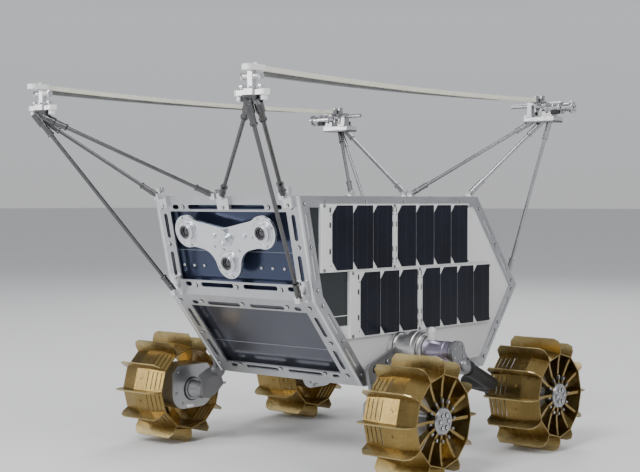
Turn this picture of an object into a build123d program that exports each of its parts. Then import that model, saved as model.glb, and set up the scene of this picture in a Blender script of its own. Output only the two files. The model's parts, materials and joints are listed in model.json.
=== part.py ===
from build123d import *
import os
from math import atan2, cos, degrees, hypot, radians, sin

os.makedirs("parts", exist_ok=True)

# Millimetres. X points forward, Y to the rover's left and Z up. The ground is at Z = 0.
# Every left-hand piece is made at positive Y and mirrored for the right.

# Body, measured back from the top front edge and down from the top
BODY_WIDTH = 254.0
HALF_WIDTH = BODY_WIDTH / 2
BODY_HEIGHT = 241.0
KNEE_DROP = 128.5
KNEE_BACK = 30.0
BOTTOM_FRONT_BACK = 122.0
BOTTOM_REAR_BACK = 398.0
REAR_APEX_BACK = 486.0
TOP_REAR_BACK = 382.0
SHEET = 2.5
PANEL = 3.0
PANEL_RECESS = 8.0
BELLY_CLEARANCE = 106.5

# Slotted rails round the front, rear and side faces
RAIL_WIDTH = 20.0
SIDE_RAIL_WIDTH = 14.0
SLOT_WIDTH = 6.0
SLOT_IN = 14.2
LONG_SLOT = 58.0
SHORT_SLOT = 11.0
LONG_SLOT_Y = 38.0
SHORT_SLOT_IN = 37.0
SHORT_SLOT_Y = HALF_WIDTH - SHORT_SLOT_IN
RIM_SLOT = 33.0
RIM_SLOT_SHARES = (0.30, 0.69)

# Solar cells and their trays
CELL_LENGTH = 80.0
CELL_WIDTH = 40.0
CELL_GAP = 0.6
CELL_CROP = 11.0
CELL_CROP_BACK = 9.0
CELL_THICKNESS = 0.8
CELL_DIVIDER = 12.0
CELL_GROUPS = (3, 4)
TRAY_THICKNESS = 1.5
TRAY_STANDOFF = 3.0
TRAY_MARGIN = 2.0
TRAY_REAR_MARGIN = 4.6
TRAY_FLANGE = 19.5
TRAY_STANDOFF_RADIUS = 3.5
TRAY_STANDOFF_IN = 12.0
# Columns: how far the first cell lies behind the top front edge, how far its top is below the top
TRAYS = ((58.2, 11.6), (113.9, 96.1))

# Three cameras on one bracket, on the front upper face
CAMERA_HALF_SPACING = 66.0
CAMERA_DEPTH = 44.0
CAMERA_LOWER_DEPTH = 84.0
CAMERA_CENTRE_DEPTH = 57.0
CAMERA_LOBE = 21.0
CAMERA_LEG_WIDTH = 35.0
CAMERA_WAIST = 26.0
CAMERA_PLATE = 4.0
CAMERA_STANDOFF = 6.0
CAMERA_STANDOFF_RADIUS = 4.5
LENS_RADIUS = 8.5
LENS_RING = 12.5
LENS_PROUD = 4.0
LENS_DEPTH = 4.0

# Wheels
WHEEL_BASE = 275.0
FRONT_WHEEL_BACK = 115.5
WHEEL_CLEARANCE = 50.5
WHEEL_INNER_Y = HALF_WIDTH + WHEEL_CLEARANCE
WHEEL_WIDTH = 79.0
WHEEL_HALF = WHEEL_WIDTH / 2
LUG_COUNT = 12
LUG_RADIUS = 77.0
LUG_THICKNESS = 1.6
# A lug's outline beyond the tread. Columns: how far outboard of the wheel's middle, radius
LUG_TIP = (
    (WHEEL_HALF, 66.5),
    (WHEEL_HALF - 3.3, 73.8),
    (WHEEL_HALF - 10.5, LUG_RADIUS),
    (6.5 - WHEEL_HALF, LUG_RADIUS),
    (-WHEEL_HALF, 69.5),
)
# The faceted tread's rings. Columns: how far from the wheel's middle, radius at the corners
TREAD_EDGE = (WHEEL_HALF, 57.5)
TREAD_CROWN = (WHEEL_HALF - 26.5, 61.6)
TREAD_SHEET = 1.5
TREAD_SLOTS_FROM_EDGE = (5.0, 12.5, 20.0, 28.0)
TREAD_SLOT_WIDTH = 1.5
TREAD_SLOT_LENGTH = 25.0
FIN_THICKNESS = 1.2
# A spoke fin's outline. Columns: how far outboard of the wheel's middle, radius
FIN_OUTER_EDGE = ((WHEEL_HALF - 2.5, 15.0), (WHEEL_HALF - 5.0, 30.0), (WHEEL_HALF - 4.0, 45.0))
FIN_INNER_EDGE = ((WHEEL_HALF - 23.5, 52.0), (WHEEL_HALF - 15.5, 30.0), (WHEEL_HALF - 13.5, 15.0))
# Where the fin meets the tread, out from the wheel's middle
FIN_RIM = (WHEEL_HALF - 2.5, WHEEL_HALF - 25.5)
FIN_FOLD = 3.2
HUB_RADIUS = 17.0
HUB_DEPTH = 15.0
AXLE_RADIUS = 6.0
AXLE_END_GAP = 3.0
RUNNING_FIT = 0.06
SEAT_GAP = 0.3

# Wheel motors, inside the wheels
MOTOR_HALF_WIDTH = 38.5
MOTOR_TOP = 34.0
MOTOR_BOTTOM = 27.0
MOTOR_SHOULDER = 10.0
MOTOR_BELLY = 22.0
MOTOR_PROUD = 2.5
MOTOR_INNER_Y = WHEEL_INNER_Y - MOTOR_PROUD
MOTOR_DEPTH = 46.0
MOTOR_BOSS_RADIUS = 12.0

# Suspension: a bent front arm and a cranked rear tube on a stepped lateral pivot
PIVOT_BACK = 193.0
PIVOT_DROP = 197.0
# Columns: how far outboard of the body's side each step of the pivot ends, and its radius
PIVOT_STEPS = (
    (3.5, 17.0),
    (7.0, 20.4),
    (26.0, 17.4),
    (30.0, 22.5),
    (45.0, 24.0),
    (52.0, 19.0),
    (92.0, 13.0),
)
PIVOT_PORT_RADIUS = 6.0
PIVOT_PORT_TOP = 29.0
FRONT_ARM_INNER_Y = HALF_WIDTH + PIVOT_STEPS[1][0] + SEAT_GAP
FRONT_ARM_PLATE = 4.5
FRONT_ARM_WIDTH = 16.0
# Columns: how far ahead of the front axle and above it each bend of the front arm lies
FRONT_ARM_BENDS = ((-10.0, 50.5), (-16.0, 27.0))
# The plate at the arm's end, further out. Columns: how far ahead of the axle, how far above it
FRONT_ARM_END = (
    (13.0, -6.0),
    (12.0, 11.0),
    (-3.0, 18.0),
    (-22.0, 25.0),
    (-29.0, 7.0),
    (-12.5, -6.5),
    (0.0, -10.5),
)
ARM_END_CLEARANCE = 15.0
FRONT_ARM_END_PLATE = 5.0
FRONT_ARM_END_Y = (HALF_WIDTH + ARM_END_CLEARANCE, HALF_WIDTH + ARM_END_CLEARANCE + FRONT_ARM_END_PLATE)
# The lip along the plate's top: its thickness, how far out and how far up it leans
FRONT_ARM_LIP = 2.5
FRONT_ARM_LIP_REACH = (9.0, 10.8)
LINK_RADIUS = 15.0
LINK_WIDTH = 5.0
LINK_OUTER_Y = HALF_WIDTH + PIVOT_STEPS[-1][0] + LINK_WIDTH
# How far back and down from the pivot the link's lower end lies, and its radius
LINK_FOOT = (13.0, 17.0)
LINK_FOOT_RADIUS = 12.0
REAR_ARM_RADIUS = 9.0
# The rear tube's bends. Columns: how far back, how far outboard of the body's side, height above the axle
REAR_ARM_BENDS = ((283.0, 87.0, 24.5), (309.5, 32.0, 20.0))
REAR_ARM_END_WIDTH = 16.0
REAR_ARM_END_Y = (HALF_WIDTH + ARM_END_CLEARANCE, HALF_WIDTH + ARM_END_CLEARANCE + REAR_ARM_END_WIDTH)
REAR_ARM_END = 13.0

# Tripods that carry the booms
HEAD_Z_ABOVE_TOP = 111.0
HEAD_OVERHANG = 53.5
HEAD_Y = HALF_WIDTH + HEAD_OVERHANG
FRONT_HEAD_AHEAD = 139.5
REAR_HEAD_BACK = 458.5
ROD_RADIUS = 2.5
SLEEVE_RADIUS = 3.8
SLEEVE_LENGTH = 26.0
FOOT_HEIGHT = 26.0
FOOT_THICKNESS = 4.0
FOOT_LUG = 8.0
FOOT_LUG_PROUD = 10.0
FOOT_IN = 18.0
REAR_KNEE_FOOT_IN = 14.0
# Columns: foot, Y of its lug, plate's width, plate's middle and lug's middle inwards from the edge
FRONT_FEET = (
    ("centre", 6.0, 20.0, 4.0, -2.5),
    ("corner", HALF_WIDTH - FOOT_IN, 14.0, 1.0, -2.5),
    ("knee", HALF_WIDTH - FOOT_IN, 17.0, 13.0, 5.0),
)
REAR_FEET = (
    ("centre", 6.0, 20.0, 13.0, 1.0),
    ("corner", HALF_WIDTH - FOOT_IN, 14.0, 13.0, 1.0),
    ("knee", HALF_WIDTH - REAR_KNEE_FOOT_IN, 17.0, 17.0, 12.0),
)
# Where each leg's axis starts, ahead of and outboard of the head
FRONT_LEG_STARTS = {"centre": (-2.0, -8.0), "corner": (-4.0, 7.0), "knee": (6.0, 1.0)}
REAR_LEG_STARTS = {"centre": (6.0, -8.0), "corner": (2.0, 6.0), "knee": (-9.0, 12.0)}
HEAD_PLATE_THICKNESS = 6.0
COLLAR_TOP_RADIUS = 11.0
COLLAR_BOTTOM_RADIUS = 7.0
COLLAR_HEIGHT = 9.0
# The sockets that take the legs: how far below the plate each leg starts, and the socket's reach each way
LEG_START_DROP = 11.0
SOCKET_RADIUS = 5.2
SOCKET_UP = 8.0
SOCKET_DOWN = 10.0
POST_SIDE = 7.0
HEAD_BAR_HALF = 22.0
HEAD_BAR_WIDTH = 9.0
HEAD_BAR_HEIGHT = 5.5
HEAD_BLOCK = 13.0
CROSS_BOLT_RADIUS = 3.2
CROSS_BOLT_HALF = 13.0
CROSS_BOLT_SHARE = 0.8
STUD_IN = 8.0
STUD_ABOVE = 3.5
STUD_BELOW = 6.5
REAR_BASE_HALF = 13.0
REAR_BASE_HEIGHT = 8.0
# How far inboard and outboard of the head the rear base reaches
REAR_BASE_REACH = (17.0, 31.0)

# Booms
BOOM_TIP_AHEAD = 156.0
HINGE_BACK = 452.0
HINGE_ABOVE_TOP = 129.5
BOOM_ABOVE_HINGE = 7.5
BOOM_END_AHEAD = 20.0
BOOM_OFFSET = 5.0
BOOM_Y = HEAD_Y + BOOM_OFFSET
BOOM_WIDTH = 12.0
BOOM_BAND = 5.5
BOOM_WEB_WIDTH = 7.0
BOOM_WEB_FRONT = 5.0
BOOM_SAG = 4.5
BOOM_TONGUE_BACK = 9.0
BOOM_TIP_CUT = 2.5
BOOM_KNOB = 2.5
BOOM_KNOB_RADIUS = 2.0
BOOM_STATIONS = 8
SHAFT_RADIUS = 3.0
SHAFT_REACH_IN = 40.5
SHAFT_INNER_Y = HEAD_Y - SHAFT_REACH_IN
# The two fins that hold the boom: from one's middle to the other's, thickness, half width, reach down and up
FIN_SPACING = 9.3
CLAMP_FIN = 2.0
CLAMP_FIN_HALF = 4.5
CLAMP_FIN_DOWN = 9.0
CLAMP_FIN_ABOVE_BOOM = 4.0
CLAMP_HUB_RADIUS = 6.0
CLAMP_LINK_WIDTH = 5.0
DRIVE_RADIUS = 8.6
DRIVE_DROP = 4.5
DRIVE_CONE = 8.0
# Columns: where each step of the drive starts and ends, from its inner end, and its share of the radius
DRIVE_STEPS = ((8.0, 11.0, 1.15), (11.0, 31.0, 1.0), (31.0, 44.5, 0.72), (44.5, 48.0, 1.0))
# The drive's stand and the inboard bearing. Columns: half width, near and far side from the boom's middle
DRIVE_STAND = (7.0, 8.0, 24.0)
BEARING = (6.0, -17.0, -10.0)
BEARING_EAR = (10.0, -19.0, -7.0)
BEARING_ABOVE_HINGE = 5.0
EAR_HEIGHT = 3.0

# Avionics and battery, the one heavy mass inside
AVIONICS = (180.0, 170.0, 90.0)
AVIONICS_BACK = 250.0

# Payload holes in the top deck
PAYLOAD_SPACING_X = 200.0
PAYLOAD_SPACING_Y = 120.0
PAYLOAD_HOLE_RADIUS = 2.2
PAYLOAD_BACK = 191.0

# The origin is halfway between the boom tips and the rearmost lugs
REAR_RUN = REAR_APEX_BACK - TOP_REAR_BACK
REAR_SLOPE = hypot(REAR_RUN, KNEE_DROP)
LUG_LOW = REAR_FEET[2][4] - FOOT_LUG / 2
LUG_OUT = FOOT_THICKNESS + FOOT_LUG_PROUD
REAR_MOST_BACK = REAR_APEX_BACK + (LUG_OUT * KNEE_DROP - LUG_LOW * REAR_RUN) / REAR_SLOPE
FRONT_EDGE_X = (REAR_MOST_BACK - BOOM_TIP_AHEAD) / 2
TOP_Z = BELLY_CLEARANCE + BODY_HEIGHT
AXLE_Z = LUG_RADIUS


def back(distance):
    """X of a place that lies this far behind the top front edge."""
    return FRONT_EDGE_X - distance


def below(distance):
    """Z of a place that lies this far below the top."""
    return TOP_Z - distance


CORNERS = (
    (back(0), below(0)),
    (back(KNEE_BACK), below(KNEE_DROP)),
    (back(BOTTOM_FRONT_BACK), below(BODY_HEIGHT)),
    (back(BOTTOM_REAR_BACK), below(BODY_HEIGHT)),
    (back(REAR_APEX_BACK), below(KNEE_DROP)),
    (back(TOP_REAR_BACK), below(0)),
)
FRONT_UPPER, FRONT_LOWER, BOTTOM, REAR_LOWER, REAR_UPPER, TOP = range(6)


def edge(face):
    """Both corners of one face of the profile, and its outward direction."""
    a, b = CORNERS[face], CORNERS[(face + 1) % 6]
    length = hypot(b[0] - a[0], b[1] - a[1])
    return a, b, (-(b[1] - a[1]) / length, (b[0] - a[0]) / length), length


def inset(depth):
    """The profile's corners, each face moved inwards by depth."""
    moved = []
    for face in range(6):
        a, b, out, length = edge(face)
        moved.append(((a[0] - out[0] * depth, a[1] - out[1] * depth), (b[0] - a[0], b[1] - a[1])))
    corners = []
    for face in range(6):
        (px, pz), (dx, dz) = moved[face - 1]
        (qx, qz), (ex, ez) = moved[face]
        t = ((qx - px) * ez - (qz - pz) * ex) / (dx * ez - dz * ex)
        corners.append((px + t * dx, pz + t * dz))
    return corners


def plate_on(face, outer, inner, half):
    """A mitred plate under one face, between two depths, over half the width each way."""
    o, i = inset(outer), inset(inner)
    nxt = (face + 1) % 6
    outline = Polygon(o[face], o[nxt], i[nxt], i[face], align=None)
    return extrude(Plane.XZ * outline, amount=half, both=True)


def face_plane(face):
    """A plane on one face: its x runs to the left, its normal points outwards."""
    a, b, out, length = edge(face)
    middle = ((a[0] + b[0]) / 2, 0, (a[1] + b[1]) / 2)
    return Plane(origin=middle, x_dir=(0, 1, 0), z_dir=(out[0], 0, out[1]))


def slab(outline, y0, y1):
    """An outline drawn in X and Z, filled from one Y to another."""
    return extrude(Plane.XZ.offset(-y0) * outline, amount=y1 - y0, dir=(0, 1, 0))


def box(x0, x1, y0, y1, z0, z1):
    """A block between two corners."""
    middle = ((x0 + x1) / 2, (y0 + y1) / 2, (z0 + z1) / 2)
    return Pos(*middle) * Box(abs(x1 - x0), abs(y1 - y0), abs(z1 - z0))


def lateral(x, z, y0, y1, radius, radius_end=None):
    """A round bar or cone along Y, between two places."""
    end = radius if radius_end is None else radius_end
    start = Plane(origin=(x, y0, z), x_dir=(1, 0, 0), z_dir=(0, 1, 0))
    if end == radius:
        return start * Cylinder(radius, y1 - y0, align=(Align.CENTER, Align.CENTER, Align.MIN))
    return start * Cone(radius, end, y1 - y0, align=(Align.CENTER, Align.CENTER, Align.MIN))


def upright(x, y, z0, z1, radius, radius_top=None):
    """A round bar or cone along Z, between two heights."""
    top = radius if radius_top is None else radius_top
    align = (Align.CENTER, Align.CENTER, Align.MIN)
    if top == radius:
        return Pos(x, y, z0) * Cylinder(radius, z1 - z0, align=align)
    return Pos(x, y, z0) * Cone(radius, top, z1 - z0, align=align)


def flip(shape):
    """The same piece on the rover's right."""
    return mirror(shape, about=Plane.XZ)


# Body shell

INNER_HALF = HALF_WIDTH - SHEET - PANEL


def slotted_frame(face):
    """A rail all round one sloping face, with two rows of slots and a window."""
    a, b, out, height = edge(face)
    frame = plate_on(face, 0, SHEET, INNER_HALF)
    holes = Rectangle(2 * (INNER_HALF - RAIL_WIDTH), height - 2 * RAIL_WIDTH)
    for side in (-1, 1):
        row = side * (height / 2 - SLOT_IN)
        for place, length in ((LONG_SLOT_Y, LONG_SLOT), (SHORT_SLOT_Y, SHORT_SLOT)):
            for hand in (-1, 1):
                holes += Pos(hand * place, row) * SlotOverall(length, SLOT_WIDTH)
        for share in RIM_SLOT_SHARES:
            centre = (side * (INNER_HALF - RAIL_WIDTH / 2), height * (0.5 - share))
            holes += Pos(*centre) * Rot(0, 0, 90) * SlotOverall(RIM_SLOT, SLOT_WIDTH)
    cutter = extrude(face_plane(face) * holes, amount=SHEET, both=True)
    return frame - cutter


def side_outline(depth):
    return Polygon(*inset(depth), align=None)


def side_panel():
    """The white sheet behind the trays."""
    return slab(side_outline(0), INNER_HALF, INNER_HALF + PANEL)


def side_frame():
    """The slotted rail round the side's six edges."""
    outline = side_outline(0) - side_outline(SIDE_RAIL_WIDTH)
    for face in (FRONT_UPPER, FRONT_LOWER, REAR_LOWER, REAR_UPPER):
        a, b, out, length = edge(face)
        for share in RIM_SLOT_SHARES:
            along = (a[0] + (b[0] - a[0]) * share, a[1] + (b[1] - a[1]) * share)
            centre = (
                along[0] - out[0] * SIDE_RAIL_WIDTH / 2,
                along[1] - out[1] * SIDE_RAIL_WIDTH / 2,
            )
            turn = degrees(atan2(b[1] - a[1], b[0] - a[0]))
            outline -= Pos(*centre) * Rot(0, 0, turn) * SlotOverall(RIM_SLOT, SLOT_WIDTH * 0.8)
    return slab(outline, INNER_HALF + PANEL, HALF_WIDTH)


TRAY_Y = INNER_HALF + PANEL + TRAY_STANDOFF


def cell_places(first_back):
    """How far each cell's front edge lies behind the top front edge."""
    places = []
    start = first_back
    for count in CELL_GROUPS:
        for _ in range(count):
            places.append(start)
            start += CELL_WIDTH + CELL_GAP
        start += CELL_DIVIDER - CELL_GAP
    return places


def solar_tray(first_back, drop):
    """A sheet tray on standoffs, with its folded front flange."""
    last = cell_places(first_back)[-1] + CELL_WIDTH
    front, rear = first_back - TRAY_FLANGE, last + TRAY_REAR_MARGIN
    top, bottom = drop - TRAY_MARGIN, drop + CELL_LENGTH + TRAY_MARGIN
    tray = box(back(front), back(rear), TRAY_Y, TRAY_Y + TRAY_THICKNESS, below(top), below(bottom))
    for place in (front + TRAY_STANDOFF_RADIUS * 2, rear - TRAY_STANDOFF_RADIUS * 2):
        for depth in (top + TRAY_STANDOFF_IN, bottom - TRAY_STANDOFF_IN):
            tray += lateral(back(place), below(depth), TRAY_Y - TRAY_STANDOFF, TRAY_Y, TRAY_STANDOFF_RADIUS)
    return tray


def solar_cell(cell_back, drop):
    """One cell, with its two front corners cropped."""
    x0, x1 = back(cell_back), back(cell_back + CELL_WIDTH)
    z0, z1 = below(drop + CELL_LENGTH), below(drop)
    outline = Polygon(
        (x1, z0),
        (x0 - CELL_CROP_BACK, z0),
        (x0, z0 + CELL_CROP),
        (x0, z1 - CELL_CROP),
        (x0 - CELL_CROP_BACK, z1),
        (x1, z1),
        align=None,
    )
    face = TRAY_Y + TRAY_THICKNESS
    return slab(outline, face, face + CELL_THICKNESS)


def solar_trays():
    return [solar_tray(first, drop) for first, drop in TRAYS]


def solar_cells():
    return [solar_cell(place, drop) for first, drop in TRAYS for place in cell_places(first)]


# Cameras

CAMERA_LENSES = (
    (-CAMERA_HALF_SPACING, CAMERA_DEPTH),
    (CAMERA_HALF_SPACING, CAMERA_DEPTH),
    (0.0, CAMERA_LOWER_DEPTH),
)


def on_front(depth):
    """The front upper face's plane, its origin this far down from the top edge."""
    height = edge(FRONT_UPPER)[3]
    return face_plane(FRONT_UPPER) * Pos(0, height / 2 - depth, 0)


def camera_bracket():
    """A three-lobed plate on standoffs."""
    plate = Sketch()
    for y, depth in CAMERA_LENSES:
        run = hypot(y, depth - CAMERA_CENTRE_DEPTH)
        turn = degrees(atan2(CAMERA_CENTRE_DEPTH - depth, y))
        leg = Pos(run / 2, 0) * SlotCenterToCenter(run, CAMERA_LEG_WIDTH)
        plate += Rot(0, 0, turn) * leg
        plate += Pos(y, CAMERA_CENTRE_DEPTH - depth) * Circle(CAMERA_LOBE)
    plate = offset(offset(plate, amount=CAMERA_WAIST), amount=-CAMERA_WAIST)
    for y, depth in CAMERA_LENSES:
        plate -= Pos(y, CAMERA_CENTRE_DEPTH - depth) * Circle(LENS_RADIUS)
    lift = CAMERA_STANDOFF
    frame = on_front(CAMERA_CENTRE_DEPTH)
    body = frame * Pos(0, 0, lift) * extrude(plate, amount=CAMERA_PLATE)
    align = (Align.CENTER, Align.CENTER, Align.MIN)
    for share in (-0.5, 0, 0.5):
        y = share * CAMERA_HALF_SPACING
        up = abs(share) * (CAMERA_CENTRE_DEPTH - CAMERA_DEPTH)
        foot = SHEET + PANEL_RECESS
        body += frame * Pos(y, up, -foot) * Cylinder(CAMERA_STANDOFF_RADIUS, lift + foot, align=align)
    return body


def camera_heads():
    """A stepped lens barrel in each lobe."""
    heads = []
    for y, depth in CAMERA_LENSES:
        frame = on_front(depth) * Pos(y, 0, CAMERA_STANDOFF + CAMERA_PLATE)
        align = (Align.CENTER, Align.CENTER, Align.MIN)
        ring = Cylinder(LENS_RING, LENS_PROUD, align=align)
        ring -= Cylinder(LENS_RADIUS - 1.5, LENS_DEPTH, align=align)
        barrel_length = CAMERA_PLATE + CAMERA_STANDOFF
        barrel = Pos(0, 0, -barrel_length) * Cylinder(LENS_RADIUS - SEAT_GAP, barrel_length, align=align)
        heads.append(frame * (ring + barrel))
    return heads


# Wheels

WHEEL_MID_Y = WHEEL_INNER_Y + WHEEL_WIDTH / 2
FRONT_AXLE_X = back(FRONT_WHEEL_BACK)
REAR_AXLE_X = FRONT_AXLE_X - WHEEL_BASE
PITCH = 360.0 / LUG_COUNT
ACROSS = Plane(origin=(0, 0, 0), x_dir=(0, 1, 0), z_dir=(1, 0, 0))


def faceted_drum(sink):
    """A twelve-sided drum about the Y axis, crowned by three facets across its width."""
    edge_y, edge_radius = TREAD_EDGE
    crown_y, crown_radius = TREAD_CROWN
    high, low = crown_radius - sink, edge_radius - sink
    flat = cos(radians(PITCH / 2))
    slope = degrees(atan2((high - low) * flat, edge_y - crown_y))
    ring = RegularPolygon(high, LUG_COUNT)
    start = Plane(origin=(0, -crown_y, 0), x_dir=(1, 0, 0), z_dir=(0, 1, 0))
    drum = start * extrude(ring, amount=2 * crown_y)
    for hand in (-1, 1):
        side = Plane(origin=(0, hand * crown_y, 0), x_dir=(1, 0, 0), z_dir=(0, hand, 0))
        drum += side * extrude(ring, amount=edge_y - crown_y, taper=slope)
    return drum


def tread_radius(y):
    """Radius of the tread's corner lines, this far from the wheel's middle."""
    share = max(0.0, (abs(y) - TREAD_CROWN[0]) / (TREAD_EDGE[0] - TREAD_CROWN[0]))
    return TREAD_CROWN[1] + (TREAD_EDGE[1] - TREAD_CROWN[1]) * share


def lug():
    """One radial blade on the tread, in the plane through the axle that stands upright."""
    foot = [(y, tread_radius(y) - TREAD_SHEET / 2) for y in (-TREAD_EDGE[0], -TREAD_CROWN[0])]
    foot += [(-y, radius) for y, radius in reversed(foot)]
    outline = ACROSS * Polygon(*foot, *LUG_TIP, align=None)
    return extrude(outline, amount=LUG_THICKNESS / 2, both=True)


def wheel_tread():
    """The sheet tread with its lugs and slots, about the Y axis at the origin."""
    tread = faceted_drum(0) - faceted_drum(TREAD_SHEET)
    cutters = []
    for place in TREAD_SLOTS_FROM_EDGE:
        y = place - WHEEL_WIDTH / 2
        wide = TREAD_SLOT_WIDTH / 2
        long = TREAD_SLOT_LENGTH / 2
        cutters.append(box(-long, long, y - wide, y + wide, TREAD_EDGE[1] - 8, LUG_RADIUS))
    lugs = [Rot(0, k * PITCH, 0) * lug() for k in range(LUG_COUNT)]
    slots = [Rot(0, (k + 0.5) * PITCH, 0) * c for k in range(LUG_COUNT) for c in cutters]
    return tread.fuse(*lugs).cut(*slots)


def spoke_fin():
    """One thin radial fin under a lug, with its outboard edge folded over."""
    reach = SEAT_GAP + TREAD_SHEET * 1.1
    rim_out, rim_in = FIN_RIM
    rim = [(rim_out, tread_radius(rim_out) - reach), (rim_in, tread_radius(rim_in) - reach)]
    outline = ACROSS * Polygon(*FIN_OUTER_EDGE, *rim, *FIN_INNER_EDGE, align=None)
    fin = extrude(outline, amount=FIN_THICKNESS / 2, both=True)
    edge_line = [*FIN_OUTER_EDGE, (rim_out, rim[0][1] - 2)]
    for (y0, low), (y1, high) in zip(edge_line, edge_line[1:]):
        outboard = ((y0, low), (y1, high))
        inboard = ((y1 - FIN_THICKNESS, high), (y0 - FIN_THICKNESS, low))
        strip = Polygon(*outboard, *inboard, align=None)
        fin += extrude(ACROSS * strip, amount=FIN_FOLD, dir=(-1, 0, 0))
    return fin


def wheel_disc():
    """The hub and the twelve fins that carry the tread, about the Y axis at the origin."""
    front = WHEEL_WIDTH / 2
    hub = lateral(0, 0, front - HUB_DEPTH, front - 2, HUB_RADIUS)
    hub += lateral(0, 0, front - 2, front, HUB_RADIUS, HUB_RADIUS - 1.5)
    disc = hub.fuse(*[Rot(0, k * PITCH, 0) * spoke_fin() for k in range(LUG_COUNT)])
    return disc - lateral(0, 0, front - HUB_DEPTH, front - AXLE_END_GAP, AXLE_RADIUS + RUNNING_FIT)


def wheel_motor(x, boss_start):
    """The drive motor's housing inside a wheel, its boss to the arm and its axle."""
    outer = MOTOR_INNER_Y + MOTOR_DEPTH
    tall = MOTOR_TOP + MOTOR_BOTTOM
    outline = Pos(0, (MOTOR_TOP - MOTOR_BOTTOM) / 2) * Rectangle(2 * MOTOR_HALF_WIDTH, tall)
    outline = fillet(outline.vertices().group_by(Axis.Y)[0], MOTOR_BELLY)
    outline = chamfer(outline.vertices().group_by(Axis.Y)[-1], MOTOR_SHOULDER)
    housing = slab(Pos(x, AXLE_Z) * outline, MOTOR_INNER_Y, outer)
    boss = lateral(x, AXLE_Z, boss_start, MOTOR_INNER_Y, MOTOR_BOSS_RADIUS)
    collar_ring = lateral(x, AXLE_Z, MOTOR_INNER_Y - 2.5, MOTOR_INNER_Y, MOTOR_BOSS_RADIUS + 3)
    axle_end = WHEEL_INNER_Y + WHEEL_WIDTH - AXLE_END_GAP - SEAT_GAP
    axle = lateral(x, AXLE_Z, outer, axle_end, AXLE_RADIUS)
    return housing + boss + collar_ring + axle


# Suspension

PIVOT_X, PIVOT_Z = back(PIVOT_BACK), below(PIVOT_DROP)


def strip(start, end, width):
    """A flat bar between two places in X and Z, rounded at both ends."""
    run = hypot(end[0] - start[0], end[1] - start[1])
    turn = degrees(atan2(end[1] - start[1], end[0] - start[0]))
    return Pos(*start) * Rot(0, 0, turn) * Pos(run / 2, 0) * SlotCenterToCenter(run, width)


def front_arm():
    """A bent plate from the pivot down to the front axle, with a lipped plate further out at its end."""
    bends = [(FRONT_AXLE_X + ahead, AXLE_Z + up) for ahead, up in FRONT_ARM_BENDS]
    places = [(PIVOT_X, PIVOT_Z), *bends]
    corners = [(FRONT_AXLE_X + ahead, AXLE_Z + up) for ahead, up in FRONT_ARM_END]
    inner, plate = FRONT_ARM_INNER_Y, FRONT_ARM_PLATE
    arm = slab(Polygon(*corners, align=None), *FRONT_ARM_END_Y)
    arm += slab(Pos(*bends[-1]) * Circle(FRONT_ARM_WIDTH / 2), inner, FRONT_ARM_END_Y[1])
    for start, end in zip(places, places[1:]):
        arm += slab(strip(start, end, FRONT_ARM_WIDTH), inner, inner + plate)
    out, up = FRONT_ARM_LIP_REACH
    for (x0, z0), (x1, z1) in zip(corners[1:3], corners[2:4]):
        band = Polygon((x0, z0), (x1, z1), (x1, z1 - FRONT_ARM_LIP), (x0, z0 - FRONT_ARM_LIP), align=None)
        arm += extrude(Plane.XZ.offset(-FRONT_ARM_END_Y[0]) * band, amount=hypot(out, up), dir=(0, out, up))
    return arm - pivot()


def rear_arm():
    """A link at the pivot's outer end, and a cranked tube back and in to the rear axle."""
    link_start = HALF_WIDTH + PIVOT_STEPS[-1][0]
    foot_x, foot_z = PIVOT_X - LINK_FOOT[0], PIVOT_Z - LINK_FOOT[1]
    places = [Vector(foot_x, (link_start + LINK_OUTER_Y) / 2, foot_z)]
    places += [Vector(back(b), HALF_WIDTH + out, AXLE_Z + up) for b, out, up in REAR_ARM_BENDS]
    places.append(Vector(REAR_AXLE_X, sum(REAR_ARM_END_Y) / 2, AXLE_Z))
    align = (Align.CENTER, Align.CENTER, Align.MIN)
    arm = lateral(PIVOT_X, PIVOT_Z, link_start, LINK_OUTER_Y, LINK_RADIUS)
    arm += slab(strip((PIVOT_X, PIVOT_Z), (foot_x, foot_z), 2 * LINK_FOOT_RADIUS), link_start, LINK_OUTER_Y)
    arm += lateral(REAR_AXLE_X, AXLE_Z, *REAR_ARM_END_Y, REAR_ARM_END)
    for start, end in zip(places, places[1:]):
        axis = end - start
        arm += Plane(origin=start, z_dir=axis) * Cylinder(REAR_ARM_RADIUS, axis.length, align=align)
    for place in places[:-1]:
        arm += Pos(*place) * Sphere(REAR_ARM_RADIUS)
    return arm - pivot() - lateral(REAR_AXLE_X, AXLE_Z, REAR_ARM_END_Y[1], MOTOR_INNER_Y, MOTOR_BOSS_RADIUS)


def pivot():
    """The stepped lateral pivot that carries both arms, with its cable port on top."""
    start = INNER_HALF + PANEL
    piece = None
    for out, radius in PIVOT_STEPS:
        end = HALF_WIDTH + out
        step = lateral(PIVOT_X, PIVOT_Z, start, end, radius)
        piece = step if piece is None else piece + step
        start = end
    port_y = HALF_WIDTH + PIVOT_STEPS[-2][0] + PIVOT_PORT_RADIUS / 2
    return piece + upright(PIVOT_X, port_y, PIVOT_Z, PIVOT_Z + PIVOT_PORT_TOP, PIVOT_PORT_RADIUS)


# Tripods

HEAD_Z = TOP_Z + HEAD_Z_ABOVE_TOP
FRONT_HEAD_X = back(-FRONT_HEAD_AHEAD)
REAR_HEAD_X = back(REAR_HEAD_BACK)
REAR_BASE_Z = HEAD_Z - 5.5
COLLAR_TOP_Z = HEAD_Z - HEAD_PLATE_THICKNESS / 2
FRONT_LEVEL = COLLAR_TOP_Z - LEG_START_DROP
REAR_LEVEL = REAR_BASE_Z + 1.5


def from_edge(face, name, distance):
    """Row of a place this far inwards from the edge that a foot belongs to."""
    half = edge(face)[3] / 2
    upper = 1 if face == FRONT_UPPER else -1
    return upper * (half - distance if name != "knee" else distance - half)


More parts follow.
